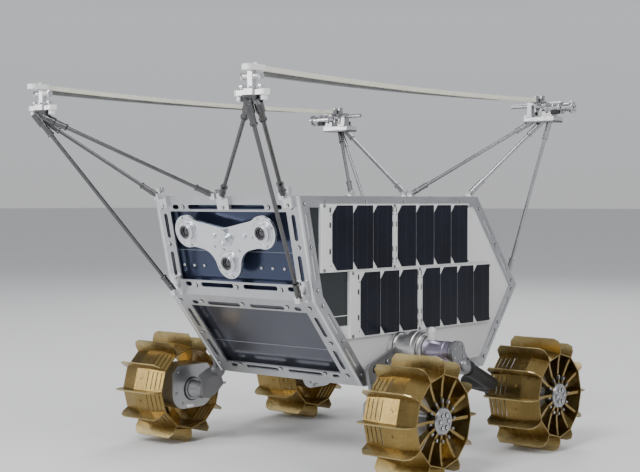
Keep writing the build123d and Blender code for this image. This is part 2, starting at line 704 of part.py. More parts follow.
def foot_lug(face, name, y, place):
    """The block that one leg ends in."""
    align = (Align.CENTER, Align.CENTER, Align.MIN)
    spot = face_plane(face) * Pos(y, from_edge(face, name, place), FOOT_THICKNESS)
    return spot * Box(FOOT_LUG, FOOT_LUG, FOOT_LUG_PROUD, align=align)


def strut_feet(face, table):
    """The foot plates and lugs on one upper face, for both tripods."""
    feet = []
    align = (Align.CENTER, Align.CENTER, Align.MIN)
    for name, y, width, plate_in, lug_in in table:
        for hand in (1,) if name == "centre" else (-1, 1):
            middle = 0 if name == "centre" else hand * y
            spot = face_plane(face) * Pos(middle, from_edge(face, name, plate_in), 0)
            foot = spot * Box(width, FOOT_HEIGHT, FOOT_THICKNESS, align=align)
            for side in (-1, 1) if name == "centre" else (hand,):
                foot += foot_lug(face, name, side * y, lug_in)
            feet.append(foot)
    return feet


def leg(start, end):
    """One strut: a rod with a thicker sleeve at each end."""
    axis = end - start
    length = axis.length
    plane = Plane(origin=start, z_dir=axis)
    align = (Align.CENTER, Align.CENTER, Align.MIN)
    rod = plane * Cylinder(ROD_RADIUS, length, align=align)
    for at in (0, length - SLEEVE_LENGTH):
        rod += plane * Pos(0, 0, at) * Cylinder(SLEEVE_RADIUS, SLEEVE_LENGTH, align=align)
    return rod


def front_collar():
    """The tapered collar of a front tripod, with a socket along each leg."""
    bottom = COLLAR_TOP_Z - COLLAR_HEIGHT
    collar = upright(FRONT_HEAD_X, HEAD_Y, bottom, COLLAR_TOP_Z, COLLAR_BOTTOM_RADIUS, COLLAR_TOP_RADIUS)
    align = (Align.CENTER, Align.CENTER, Align.MIN)
    for start, end in leg_axes(FRONT_UPPER, FRONT_FEET, FRONT_LEG_STARTS, FRONT_HEAD_X, FRONT_LEVEL):
        axis = (end - start).normalized()
        spot = Plane(origin=start - axis * SOCKET_UP, z_dir=axis)
        collar += spot * Cylinder(SOCKET_RADIUS, SOCKET_UP + SOCKET_DOWN, align=align)
    return collar


def rear_base():
    """The flat base that takes the three legs of a rear tripod."""
    inboard, outboard = REAR_BASE_REACH
    x, half, z = REAR_HEAD_X, REAR_BASE_HALF, REAR_BASE_Z
    return box(x - half, x + half, HEAD_Y - inboard, HEAD_Y + outboard, z, z + REAR_BASE_HEIGHT)


def leg_axes(face, table, starts, head_x, level):
    """Both ends of each leg's axis, from the head down to the lug on the body."""
    axes = []
    for name, y, width, plate_in, lug_in in table:
        ahead, out = starts[name]
        start = Vector(head_x + ahead, HEAD_Y + out, level)
        local = Vector(y, from_edge(face, name, lug_in), FOOT_THICKNESS + FOOT_LUG_PROUD / 2)
        axes.append((start, face_plane(face).from_local_coords(local)))
    return axes


def tripod_struts(face, table, starts, head_x, level, hold):
    """Three legs from a head down to the lugs on the body."""
    axes = leg_axes(face, table, starts, head_x, level)
    lugs = [foot_lug(face, name, y, lug_in) for name, y, width, plate_in, lug_in in table]
    return [leg(start, end) - hold - lug for (start, end), lug in zip(axes, lugs)]


def front_head():
    """Collar, cross bar, post and the bolt through it. The boom's tongue rests on the post."""
    z = COLLAR_TOP_Z
    x, y = FRONT_HEAD_X, HEAD_Y
    wide, block, post = HEAD_BAR_WIDTH / 2, HEAD_BLOCK / 2, POST_SIDE / 2
    rest = boom_underside(x) - SEAT_GAP
    piece = front_collar()
    piece += box(x - wide, x + wide, y - HEAD_BAR_HALF, y + HEAD_BAR_HALF, z, z + HEAD_BAR_HEIGHT)
    piece += box(x - block, x + block, y - block, y + block, z, z + HEAD_PLATE_THICKNESS + 1)
    piece += box(x - post, x + post, y - post, y + post, z, rest)
    bolt_z = z + (rest - z) * CROSS_BOLT_SHARE
    piece += lateral(x, bolt_z, y - CROSS_BOLT_HALF, y + CROSS_BOLT_HALF, CROSS_BOLT_RADIUS)
    for hand in (-1, 1):
        spot = y + hand * (HEAD_BAR_HALF - STUD_IN)
        piece += upright(x, spot, z - STUD_BELOW, z + HEAD_BAR_HEIGHT + STUD_ABOVE, ROD_RADIUS)
    return piece


# Booms

HINGE_X, HINGE_Z = back(HINGE_BACK), TOP_Z + HINGE_ABOVE_TOP
BOOM_Z = HINGE_Z + BOOM_ABOVE_HINGE
BOOM_TIP_X = back(-BOOM_TIP_AHEAD)
BOOM_REAR_X = HINGE_X + BOOM_END_AHEAD


def boom_line(x):
    """Height of the boom's middle line, which sags a little between its two rests."""
    share = min(1.0, max(0.0, (x - HINGE_X) / (FRONT_HEAD_X - HINGE_X)))
    return BOOM_Z - 4 * BOOM_SAG * share * (1 - share)


def boom_underside(x):
    return boom_line(x) - BOOM_BAND / 2


def boom():
    """A long sagging bar with a tapering web under it and a stout tongue at its front."""
    band = BOOM_BAND / 2
    run = FRONT_HEAD_X - HINGE_X
    stations = [BOOM_REAR_X, *[HINGE_X + run * k / BOOM_STATIONS for k in range(1, BOOM_STATIONS + 1)]]
    lower = [(x, boom_line(x) - band) for x in stations]
    upper = [(x, boom_line(x) + band) for x in stations]
    half = BOOM_WIDTH / 2
    bar = slab(Polygon(*lower, *reversed(upper), align=None), BOOM_Y - half, BOOM_Y + half)
    start = FRONT_HEAD_X - BOOM_TONGUE_BACK
    web_stations = [x for x in stations[1:] if x < start] + [start]
    shares = [(x - web_stations[0]) / (start - web_stations[0]) for x in web_stations]
    under = [(x, boom_line(x) - band - BOOM_WEB_FRONT * share) for x, share in zip(web_stations, shares)]
    over = [(x, boom_line(x) - band) for x in web_stations]
    web_half = BOOM_WEB_WIDTH / 2
    web = slab(Polygon(*under, *reversed(over[1:]), align=None), BOOM_Y - web_half, BOOM_Y + web_half)
    top, wide = BOOM_Z + band + 0.8, half + 0.8
    tongue = box(start, BOOM_TIP_X, BOOM_Y - wide, BOOM_Y + wide, BOOM_Z - band, top)
    tongue = chamfer(tongue.edges().filter_by(Axis.Z).group_by(Axis.X)[-1], BOOM_TIP_CUT)
    knob = upright(FRONT_HEAD_X, BOOM_Y, top, top + BOOM_KNOB, BOOM_KNOB_RADIUS)
    return bar + web + tongue + knob


def boom_clamp():
    """The hinge shaft with its hub, two fins and the link that the boom's end sits on."""
    top = BOOM_Z + BOOM_BAND / 2 + CLAMP_FIN_ABOVE_BOOM
    inner, outer = BOOM_Y - FIN_SPACING / 2, BOOM_Y + FIN_SPACING / 2
    clamp = lateral(HINGE_X, HINGE_Z, SHAFT_INNER_Y, outer + DRIVE_CONE, SHAFT_RADIUS)
    clamp += lateral(HINGE_X, HINGE_Z, inner, outer, CLAMP_HUB_RADIUS)
    half = CLAMP_LINK_WIDTH / 2
    band = BOOM_BAND / 2
    clamp += box(HINGE_X, BOOM_REAR_X, BOOM_Y - half, BOOM_Y + half, HINGE_Z, BOOM_Z + band)
    for y in (inner, outer):
        near, far = y - CLAMP_FIN / 2, y + CLAMP_FIN / 2
        low = HINGE_Z - CLAMP_FIN_DOWN
        clamp += box(HINGE_X - CLAMP_FIN_HALF, HINGE_X + CLAMP_FIN_HALF, near, far, low, top)
    return clamp


def boom_drive():
    """The boom's motor, outboard of it, and the bearing inboard, on the tripod's base."""
    z0 = REAR_BASE_Z + REAR_BASE_HEIGHT
    z = HINGE_Z - DRIVE_DROP
    start = BOOM_Y + (FIN_SPACING + CLAMP_FIN) / 2 + SEAT_GAP
    cone_end = start + DRIVE_CONE
    drive = lateral(HINGE_X, HINGE_Z - DRIVE_DROP / 2, start, cone_end, DRIVE_RADIUS * 0.75, DRIVE_RADIUS)
    for first, last, share in DRIVE_STEPS:
        drive += lateral(HINGE_X, z, start + first, start + last, DRIVE_RADIUS * share)
    half, near, far = DRIVE_STAND
    drive += box(HINGE_X - half, HINGE_X + half, BOOM_Y + near, BOOM_Y + far, z0, z - DRIVE_RADIUS / 2)
    half, near, far = BEARING
    top = HINGE_Z + BEARING_ABOVE_HINGE
    bearing = box(HINGE_X - half, HINGE_X + half, BOOM_Y + near, BOOM_Y + far, z0, top)
    half, near, far = BEARING_EAR
    bearing += box(HINGE_X - half, HINGE_X + half, BOOM_Y + near, BOOM_Y + far, z0, z0 + EAR_HEIGHT)
    bore = lateral(HINGE_X, HINGE_Z, SHAFT_INNER_Y, cone_end, SHAFT_RADIUS + RUNNING_FIT)
    return [drive - bore, bearing - bore]


def top_deck():
    """The top plate, with four payload holes."""
    deck = plate_on(TOP, 0, SHEET + PANEL, INNER_HALF)
    for hand in (-1, 1):
        for way in (-1, 1):
            x, y = back(PAYLOAD_BACK) + way * PAYLOAD_SPACING_X / 2, hand * PAYLOAD_SPACING_Y / 2
            deck -= upright(x, y, TOP_Z - 2 * (SHEET + PANEL), TOP_Z, PAYLOAD_HOLE_RADIUS)
    return deck


def avionics_block():
    length, width, height = AVIONICS
    middle = back(AVIONICS_BACK)
    floor = below(BODY_HEIGHT) + PANEL + SHEET
    return box(middle - length / 2, middle + length / 2, -width / 2, width / 2, floor, floor + height)


def write(shape, node):
    """Write a solid, or a list of solids that don't touch, as one node."""
    pieces = shape if isinstance(shape, list) else [shape]
    whole = Compound(pieces) if len(pieces) > 1 else pieces[0]
    export_step(whole, f"parts/{node}.step")


def write_both(shape, node):
    """Write a left-hand piece and its mirror image as one node."""
    pieces = shape if isinstance(shape, list) else [shape]
    write(pieces + [flip(piece) for piece in pieces], node)


def write_pair(shape, node):
    """Write a left-hand piece and its mirror image as two nodes."""
    pieces = shape if isinstance(shape, list) else [shape]
    write(pieces, f"{node}_left")
    write([flip(piece) for piece in pieces], f"{node}_right")


def main():
    for face, name in (
        (FRONT_UPPER, "front_upper"),
        (FRONT_LOWER, "front_lower"),
        (REAR_LOWER, "rear_lower"),
        (REAR_UPPER, "rear_upper"),
    ):
        write(slotted_frame(face), f"{name}_frame")
        behind = SHEET + PANEL_RECESS
        write(plate_on(face, behind, behind + PANEL, INNER_HALF), f"{name}_panel")
    write(top_deck(), "top_deck")
    write(plate_on(BOTTOM, 0, SHEET + PANEL, INNER_HALF), "bottom_deck")
    write(avionics_block(), "avionics_block")
    for shape, node in (
        (side_panel(), "side_panels"),
        (side_frame(), "side_frames"),
        (solar_trays(), "solar_trays"),
        (solar_cells(), "solar_cells"),
    ):
        write_both(shape, node)
    write(camera_bracket(), "camera_bracket")
    write(camera_heads(), "camera_heads")
    for face, table, starts, head_x, level, hold, name in (
        (FRONT_UPPER, FRONT_FEET, FRONT_LEG_STARTS, FRONT_HEAD_X, FRONT_LEVEL, front_collar(), "front"),
        (REAR_UPPER, REAR_FEET, REAR_LEG_STARTS, REAR_HEAD_X, REAR_LEVEL, rear_base(), "rear"),
    ):
        write(strut_feet(face, table), f"{name}_strut_feet")
        write_pair(tripod_struts(face, table, starts, head_x, level, hold), f"{name}_struts")
    write_both(front_head(), "front_heads")
    write_both(rear_base(), "rear_heads")
    write_pair(boom(), "boom")
    write_pair(boom_clamp(), "boom_clamp")
    write_pair(boom_drive(), "boom_drive")
    write_pair(pivot(), "suspension_pivot")
    write_pair(front_arm(), "front_arm")
    write_pair(rear_arm(), "rear_arm")
    tread, disc = wheel_tread(), wheel_disc()
    for x, boss_start, name in (
        (FRONT_AXLE_X, FRONT_ARM_END_Y[1], "front"),
        (REAR_AXLE_X, REAR_ARM_END_Y[1], "rear"),
    ):
        write_both(wheel_motor(x, boss_start), f"{name}_wheel_motors")
        place = Pos(x, WHEEL_MID_Y, AXLE_Z)
        write_pair(place * tread, f"{name}_wheel_tread")
        write_pair(place * disc, f"{name}_wheel_disc")


main()
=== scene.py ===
import json
from math import cos, hypot, pi, radians, sin

import bmesh
import bpy
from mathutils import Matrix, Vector


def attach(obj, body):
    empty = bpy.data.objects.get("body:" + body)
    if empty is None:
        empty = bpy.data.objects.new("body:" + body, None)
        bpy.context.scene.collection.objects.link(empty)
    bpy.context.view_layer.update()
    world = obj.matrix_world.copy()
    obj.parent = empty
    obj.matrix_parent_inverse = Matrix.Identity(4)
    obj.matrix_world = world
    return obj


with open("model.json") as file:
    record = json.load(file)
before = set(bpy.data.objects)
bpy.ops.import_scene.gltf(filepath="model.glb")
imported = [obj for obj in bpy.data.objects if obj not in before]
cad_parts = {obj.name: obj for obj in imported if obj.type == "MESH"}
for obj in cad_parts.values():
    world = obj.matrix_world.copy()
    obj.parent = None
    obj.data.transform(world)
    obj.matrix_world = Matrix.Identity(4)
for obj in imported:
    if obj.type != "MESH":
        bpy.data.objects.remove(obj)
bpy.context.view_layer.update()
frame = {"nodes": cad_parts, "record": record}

bl_info = {
    "name": "Planetary rover looks",
    "version": (1, 1, 0),
    "blender": (4, 5, 0),
    "location": "3D View > Sidebar > Rover",
    "description": "Finishes and small fittings for a planetary rover",
    "category": "Object",
}

MM = 0.001
SHARP_ANGLE = radians(34.0)
# Directions on the rover's left half, and the two sides' signs
OUT, IN, UP, AHEAD = (0, 1, 0), (0, -1, 0), (0, 0, 1), (1, 0, 0)
HANDS = (-1, 1)
ROOT = "rover"
HEAD_TREE = "stepped_head"

# The body's profile as X and Z, from the top front corner round under the belly
PROFILE = (
    (0.16792, 0.3475),
    (0.13792, 0.2190),
    (0.04592, 0.1065),
    (-0.23008, 0.1065),
    (-0.31808, 0.2190),
    (-0.21408, 0.3475),
)
FACES = {"front_upper": 0, "front_lower": 1, "belly": 2, "rear_lower": 3, "rear_upper": 4, "top": 5}
SLOPES = ("front_upper", "front_lower", "rear_lower", "rear_upper")
TOP_Z = PROFILE[0][1]
SIDE_SHEET_Y = 0.1245
HALF_BODY = 0.127
PANEL_DEPTH = 0.0105
# Film on the panels: where the lower, slate half ends, and the seams' heights
LOWER_FILM_TOP_Z = 0.2245
FILM_SEAMS_Z = (0.2775, 0.1524)
# A thin dark patch on the side sheet ahead of the trays, its outline as X and Z
DARK_PATCH_OUTLINE = ((0.1505, 0.3335), (0.0700, 0.3335), (0.0700, 0.1860), (0.0925, 0.1860), (0.1235, 0.2235))

# Solar trays on the left side: X of the front and rear edge, Z of the top and bottom
TRAYS = (
    (0.12922, -0.18988, 0.3379, 0.2539),
    (0.07352, -0.24558, 0.2534, 0.1694),
)
TRAY_FACE_Y = 0.129
LIP_Y = 0.12685
GAP_Y = 0.12950
# How far behind the body's front corner the gaps between the cells of each tray lie
CELL_GAPS = ((0.0985, 0.1391, 0.2317, 0.2723, 0.3129), (0.1542, 0.1948, 0.2874, 0.3280, 0.3686))
# How far a tray's divider lies behind its front edge
DIVIDER_BACK = 0.1407
# Columns of slots in a tray: how far back, width, how many. Slots: how far down, length
SLOT_COLUMNS = ((0.0156, 0.0030, 3), (DIVIDER_BACK + 0.0022, 0.0016, 4), (DIVIDER_BACK + 0.0092, 0.0016, 4))
SLOT_DROPS = ((0.0076, 0.0070), (0.0262, 0.0072), (0.0585, 0.0072), (0.0715, 0.0050))

# Camera: where it stands and which way it looks, in metres and degrees
CAMERA_PLACE = (1.3382, 1.1498, 0.3398)
CAMERA_YAW = 220.26
CAMERA_PITCH = -1.48
CAMERA_LENS = 73.4
# The place that the lamps point at
LAMPS_AIM = Vector((0.0, 0.0, 0.2))

# Lenses on the front upper face: Y, distance down from the top edge
LENSES = ((-0.066, 0.044), (0.066, 0.044), (0.0, 0.084))
BRACKET_LIFT = 0.010
LENS_LIFT = 0.014
LENS_BORE = 0.0088
LENS_SCREWS = 0.0183
# Ridges round a lens: both radii, height, how far off the face they stand
RIDGES = ((0.0154, 0.0166, 0.0009, BRACKET_LIFT), (LENS_BORE, 0.0100, 0.0008, LENS_LIFT))
# The lens glass, as radius and height
GLASS_PROFILE = (
    (0, 0.0018),
    (0.0030, 0.0015),
    (0.0052, 0.0006),
    (0.0064, -0.0004),
    (0.0064, -0.0012),
    (0, -0.0012),
)
# Posts on the bracket: Y, distance down, radius, height, sides
BRACKET_POSTS = (
    (0.0040, 0.0530, 0.0088, 0.0022, 28),
    (0.0040, 0.0530, 0.0060, 0.0042, 28),
    (0.0056, 0.0534, 0.0040, 0.0078, 6),
    (0.0020, 0.0430, 0.0040, 0.0044, 6),
    (-0.0050, 0.0590, 0.0036, 0.0030, 28),
    (-0.0180, 0.0486, 0.0030, 0.0024, 28),
    (0.0342, 0.0490, 0.0034, 0.0026, 28),
)

AXLES_X = (0.05242, -0.22258)
# Wheels: name, X of the axle, side
WHEELS = tuple(
    (f"{end}_{hand}", axle, side)
    for end, axle in zip(("front", "rear"), AXLES_X)
    for hand, side in (("left", 1), ("right", -1))
)
AXLE_Z = 0.077
WHEEL_MID_Y = 0.217
WHEEL_FACE_Y = 0.2565
MOTOR_FACE_Y = 0.175
# On a motor's face, from its axle: screws as X and Z, clips as X, Z, width and height
MOTOR_SCREWS = ((-0.031, 0.018), (0.027, 0.026), (0.031, -0.004), (-0.026, -0.014), (0.018, -0.019))
MOTOR_CLIPS = ((-0.0235, 0.0205, 0.0085, 0.0040), (0.0060, -0.0235, 0.0110, 0.0042))
SEGMENTS = 12
# The wheels' tones: lugs painted pale as a highlight, and dusty, from these distances from the axle, and the
# grey hub
LUG_HIGHLIGHT_FROM = 0.062
DUSTY_FROM = 0.066
HUB_RADIUS = 0.0173
HUB_INNER_Y = 0.2405

# The suspension's pivot: X and Z, and the places where two of its steps meet, with the larger radius
PIVOT = (-0.02508, 0.1505)
PIVOT_GROOVES = ((0.1340, 0.0206), (0.1570, 0.0227), (0.1720, 0.0226), (0.1790, 0.0192), (0.2155, 0.0131))
# How far out the ports on the pivot's top and on its front lie
TOP_PORT_Y = 0.182
FRONT_PORT_Y = 0.1965
# The purple part of the pivot is outboard of this and below its top port
OUTER_STEP_Y = 0.179
OUTER_STEP_TOP_Z = 0.1638
LINK_FACE_Y = 0.224
# The middle line of the left rear arm's tube, and where its sleeve starts
REAR_TUBE = ((-0.0381, 0.2215, 0.1335), (-0.1151, 0.2140, 0.1015))
SLEEVE_FRONT_X = -0.0440

# Left-hand legs of the tripods: upper end, lower end
LEGS = (
    ((0.30542, 0.1725, 0.4445), (0.17726, 0.006, 0.34789)),
    ((0.30342, 0.1875, 0.4445), (0.17726, 0.109, 0.34789)),
    ((0.31342, 0.1815, 0.4445), (0.14783, 0.109, 0.22182)),
    ((-0.28458, 0.1725, 0.4545), (-0.2217, 0.006, 0.35238)),
    ((-0.28858, 0.1865, 0.4545), (-0.2217, 0.109, 0.35238)),
    ((-0.29958, 0.1925, 0.4545), (-0.31752, 0.113, 0.23399)),
)
SLEEVE_LENGTH = 0.026
# Foot plates: the face they lie on, middle of the plate's outer side
FEET = (
    ("front_upper", (0.17091, 0.0, 0.3427)),
    ("front_upper", (0.17159, 0.109, 0.34562)),
    ("front_upper", (0.14478, 0.109, 0.23075)),
    ("rear_upper", (-0.22536, 0.0, 0.33991)),
    ("rear_upper", (-0.22536, 0.109, 0.33991)),
    ("rear_upper", (-0.31049, 0.113, 0.23473)),
)
FRONT_HEAD = (0.30742, 0.1805)
COLLAR_TOP_Z = 0.4555
# The dark collars of the heads: their middle and half their height
COLLAR_MIDDLE_Z = 0.428
COLLAR_HALF = 0.0273
CROSS_BOLT_Z = 0.47626
POST_RING_Z = 0.463
POST_NUT_Z = 0.4646
REAR_BASE_TOP_Z = 0.461
# Screws on a rear base plate: X of a row, Y of each
BASE_SCREWS = ((-0.2806, (0.1675, 0.1800, 0.1895)), (-0.3005, (0.1690, 0.1850, 0.2020)))

# Booms: the hinge, the middle line's height at both rests, how far it sags, where its tongue starts
HINGE = (-0.28408, 0.1855, 0.4770)
BOOM_Z = 0.4845
BOOM_SAG = 0.0045
# Half the height of the boom's upper band; the bar below it is painted dark as shade
BOOM_HALF_BAND = 0.00275
TONGUE_X = 0.2984
TONGUE_TOP_Z = 0.48805
# A fin's face lies this far to the side of the boom's middle
FIN_FACE = 0.00565
DRIVE_END_Y = 0.23945
DRIVE_Z = 0.4725
DISC_HEIGHT = 0.0009


def sums(operation, swapped=False):
    """A method of Wire that adds one maths node, of itself and another value."""

    def method(self, other):
        return self.maths(operation, *((other, self) if swapped else (self, other)))

    return method


class Wire:
    """A socket that takes part in sums, so that a pattern reads as arithmetic."""

    def __init__(self, tree, socket=None):
        self.tree = tree
        self.socket = socket

    def node(self, kind, settings=None, values=None, out=0):
        """Adds a node: its settings first, then values or links for its sockets."""
        made = self.tree.nodes.new(kind)
        for key, value in (settings or {}).items():
            if key == "stops":
                fill_ramp(made.color_ramp, value)
            else:
                setattr(made, key, value)
        for key, value in (values or {}).items():
            if isinstance(value, Wire):
                self.tree.links.new(value.socket, made.inputs[key])
            else:
                made.inputs[key].default_value = value
        return Wire(self.tree, made.outputs[out])

    def maths(self, operation, *values):
        return self.node("ShaderNodeMath", {"operation": operation}, dict(enumerate(values)))

    __add__, __radd__ = sums("ADD"), sums("ADD", True)
    __sub__, __rsub__ = sums("SUBTRACT"), sums("SUBTRACT", True)
    __mul__, __rmul__ = sums("MULTIPLY"), sums("MULTIPLY", True)
    __lt__, __gt__ = sums("LESS_THAN"), sums("GREATER_THAN")
    least, most = sums("MINIMUM"), sums("MAXIMUM")

    def __abs__(self):
        return self.maths("ABSOLUTE", self)

    def root(self):
        return self.maths("SQRT", self)

    def part(self, axis):
        """One coordinate of a vector."""
        return self.node("ShaderNodeSeparateXYZ", {}, {0: self}, "XYZ".index(axis))


def fill_ramp(ramp, stops):
    """Sets a ramp's stops from pairs of place and colour."""
    while len(ramp.elements) < len(stops):
        ramp.elements.new(1.0)
    for element, (place, colour) in zip(ramp.elements, stops):
        element.position = place
        element.color = colour


def rgba(colour, shade=1.0):
    return (colour[0] * shade, colour[1] * shade, colour[2] * shade, 1.0)


def blend_colours(mask, low, high):
    return mask.node("ShaderNodeMix", {"data_type": "RGBA"}, {"Factor": mask, "A": low, "B": high}, 2)


def shades(mask, colour, low, high):
    """One colour times two factors, from the first to the second as the mask goes from 0 to 1."""
    return blend_colours(mask, rgba(colour, low), rgba(colour, high))


def cloud(place, scale, detail=3.0, roughness=0.55):
    """Soft noise between 0 and 1."""
    values = {"Vector": place, "Scale": scale, "Detail": detail, "Roughness": roughness}
    return place.node("ShaderNodeTexNoise", {}, values)


def stretched(place, amounts):
    """The place with each axis scaled, for grain that runs one way."""
    return place.node("ShaderNodeMapping", {}, {"Vector": place, "Scale": amounts})


def stripe(value, centre, half):
    """1 within half of centre, and 0 elsewhere."""
    return abs(value - centre) < half


def axle_distance(place):
    """How far a place is from the nearer axle line."""
    z = place.part("Z") - AXLE_Z
    front, rear = (place.part("X") - axle for axle in AXLES_X)
    return ((front * front).least(rear * rear) + z * z).root()


def lens_distance(place):
    """How far a place is from the nearest lens's axis."""
    (ax, az), (bx, bz) = PROFILE[0], PROFILE[1]
    length = hypot(bx - ax, bz - az)
    down = (place.part("X") - ax) * ((bx - ax) / length) + (place.part("Z") - az) * ((bz - az) / length)
    nearest = None
    for y, depth in LENSES:
        across, along = place.part("Y") - y, down - depth
        gap = (across * across + along * along).root()
        nearest = gap if nearest is None else nearest.least(gap)
    return nearest


def finish(name, lay_out, *values):
    """A material whose nodes lay_out() makes from Object coordinates and its values."""
    made = bpy.data.materials.new(name)
    made.use_nodes = True
    tree = made.node_tree
    tree.nodes.clear()
    surface = lay_out(Wire(tree).node("ShaderNodeTexCoord", {}, {}, "Object"), *values)
    end = tree.nodes.new("ShaderNodeOutputMaterial")
    tree.links.new(surface.socket, end.inputs["Surface"])
    return made


def skin(colour, roughness, metallic=0.0, coat=0.0, normal=None, coat_roughness=0.1, gloss=0.5):
    """The surface shader that every finish ends in."""
    start = next(v for v in (colour, roughness, normal) if isinstance(v, Wire))
    values = {"Base Color": colour, "Roughness": roughness, "Metallic": metallic, "Specular IOR Level": gloss}
    if coat:
        values["Coat Weight"] = coat
        values["Coat Roughness"] = coat_roughness
    if normal is not None:
        values["Normal"] = normal
    return start.node("ShaderNodeBsdfPrincipled", {}, values)


def bump(height, strength, distance):
    values = {"Height": height, "Strength": strength, "Distance": distance}
    return height.node("ShaderNodeBump", {}, values)


def milled(place, colour, roughness=0.36, metallic=1.0, part_of=None):
    """Milled and blasted metal with smudges and handling marks. part_of gives a second tone and its mask."""
    grain = cloud(place, 1800.0, 2.0)
    smudge = cloud(place, 24.0, 5.0, 0.6)
    marks = (cloud(stretched(place, (12.0, 160.0, 160.0)), 9.0, 5.0) > 0.64) * 0.5
    tone = shades(smudge, colour, 0.74, 1.15)
    if part_of:
        tone = blend_colours(part_of[1](place), tone, shades(smudge, part_of[0], 0.7, 1.2))
    tone = blend_colours(marks, tone, rgba(colour, 1.3))
    rough = roughness + (smudge - 0.5) * 0.24 + (grain - 0.5) * 0.1
    return skin(tone, rough, metallic, normal=bump(grain + smudge * 2.0, 0.14, 0.0003))


def turned_metal(place, colour, roughness=0.2, part_of=None):
    """Bright metal turned about the rover's width: fine rings across it and soft smudges."""
    rings_across = cloud(stretched(place, (30.0, 2600.0, 30.0)), 1.0, 3.0)
    smudge = cloud(place, 40.0, 4.0, 0.6)
    tone = shades(smudge, colour, 0.72, 1.12)
    if part_of:
        tone = blend_colours(part_of[1](place), tone, shades(smudge, part_of[0], 0.7, 1.1))
    rough = roughness + (rings_across - 0.5) * 0.12 + (smudge - 0.5) * 0.18
    return skin(tone, rough, 1.0, normal=bump(rings_across, 0.14, 0.0002))


def white_paint(place, colour, roughness=0.5):
    """Matt thermal paint with a fine pebbled skin and dust low down."""
    pebble = cloud(place, 1400.0, 2.0)
    dust = cloud(place, 11.0, 5.0, 0.65)
    low = (place.part("Z") * -2.4 + 0.8).most(0.0)
    rubbed = (cloud(place, 90.0, 6.0, 0.7) > 0.71) * 0.35
    tone = blend_colours(dust * low * 0.8, rgba(colour), rgba((0.52, 0.49, 0.44)))
    tone = blend_colours(rubbed, tone, rgba(colour, 0.82))
    rough = roughness + (pebble - 0.5) * 0.12 + dust * 0.1
    return skin(tone, rough, normal=bump(pebble + dust * 1.5, 0.12, 0.0004))


def black_satin(place, colour, roughness=0.45):
    """Dark paint with scuffs."""
    pebble = cloud(place, 1600.0, 2.0)
    scuff = (cloud(place, 60.0, 6.0, 0.7) > 0.68) * 0.5
    tone = shades(scuff, colour, 1.0, 2.1)
    return skin(tone, roughness + pebble * 0.1, 0.2, normal=bump(pebble, 0.15, 0.0002))


def arm_paint(place, light, dark):
    """Grey paint on the arms, with a dark sleeve on the rear tubes."""
    pebble = cloud(place, 1500.0, 2.0)
    smudge = cloud(place, 30.0, 5.0, 0.6)
    scuff = (cloud(place, 70.0, 6.0, 0.7) > 0.67) * 0.4
    sleeve = place.part("X") < SLEEVE_FRONT_X
    tone = shades(smudge, light, 0.75, 1.15)
    tone = blend_colours(scuff, tone, rgba(light, 1.5))
    tone = blend_colours(sleeve, tone, shades(scuff, dark, 1.0, 2.4))
    rough = 0.36 + (smudge - 0.5) * 0.2 + sleeve * 0.12
    return skin(tone, rough, 0.75 - sleeve * 0.70, normal=bump(pebble + smudge, 0.14, 0.0003), gloss=0.3)


def wheel_sheet(place, colour, hub):
    """Gold anodised sheet: cloudy, glossier in places, with a grey hub; the lugs far from the axle are painted
    pale as a highlight, with pale rubbed streaks added at random.
    """
    grain = cloud(place, 1500.0, 2.0)
    smudge = cloud(place, 21.0, 5.0, 0.62)
    streak = cloud(stretched(place, (60.0, 7.0, 60.0)), 5.0, 4.0)
    rub = (cloud(stretched(place, (90.0, 300.0, 90.0)), 3.0, 4.0) > 0.63) * 0.5
    away = axle_distance(place)
    # Painted highlight: the lugs far from the axle turn pale, where their faces catch the light; rub adds
    # random pale rubbed streaks
    tip = ((away - LUG_HIGHLIGHT_FROM) * 60.0).most(0.0).least(0.6)
    tone = shades(smudge, colour, 0.40, 1.55)
    tone = blend_colours(streak * 0.5, tone, rgba((0.20, 0.145, 0.045)))
    tone = blend_colours(tip * smudge + rub * 0.4, tone, rgba((0.72, 0.62, 0.34)))
    middle = (away < HUB_RADIUS) * (abs(place.part("Y")) > HUB_INNER_Y)
    tone = blend_colours(middle, tone, shades(smudge, hub, 0.75, 1.2))
    dust = ((away - DUSTY_FROM) * 90.0).most(0.0).least(1.0) * smudge
    rough = 0.25 + (smudge - 0.5) * 0.26 + (grain - 0.5) * 0.08 + dust * 0.2
    return skin(tone, rough, 0.95 - dust * 0.3, normal=bump(grain + smudge * 3.0, 0.2, 0.0004))


def radiator_film(place, colour):
    """Dark mirror film, slate on the lower panels, with one thin seam across each panel."""
    z = place.part("Z")
    upper_seam, lower_seam = (stripe(z, height, 0.0004) for height in FILM_SEAMS_Z)
    seam = upper_seam.most(lower_seam)
    ripple = cloud(place, 9.0, 2.0)
    speck = (cloud(place, 420.0, 2.0) > 0.79) * 0.6
    tone = shades(ripple, colour, 0.8, 1.25)
    tone = blend_colours(z < LOWER_FILM_TOP_Z, tone, rgba((0.10, 0.105, 0.13)))
    tone = blend_colours(seam * 0.8, tone, rgba((0.34, 0.36, 0.42)))
    tone = blend_colours(speck, tone, rgba((0.30, 0.32, 0.38)))
    rough = 0.15 + seam * 0.4 + ripple * 0.08 + speck * 0.3
    return skin(tone, rough, 0.65, normal=bump(ripple - seam * 0.4, 0.06, 0.002))


def solar_glass(place, colour):
    """A dark cell under glass: faint fingers across it and busbars along it."""
    x, z = place.part("X"), place.part("Z")
    fingers = (z.maths("PINGPONG", z + 1.0, 0.0011) < 0.00008) * 0.06
    bars = (x.maths("PINGPONG", x + 1.0, 0.0102) < 0.00028) * 0.07
    hue = cloud(place, 18.0, 3.0)
    tone = blend_colours(hue, rgba(colour, 0.7), rgba((0.009, 0.011, 0.026)))
    tone = blend_colours(fingers.most(bars), tone, rgba((0.30, 0.31, 0.34)))
    return skin(tone, 0.16 + hue * 0.12, 0.0, normal=bump(hue, 0.05, 0.001), gloss=0.16)


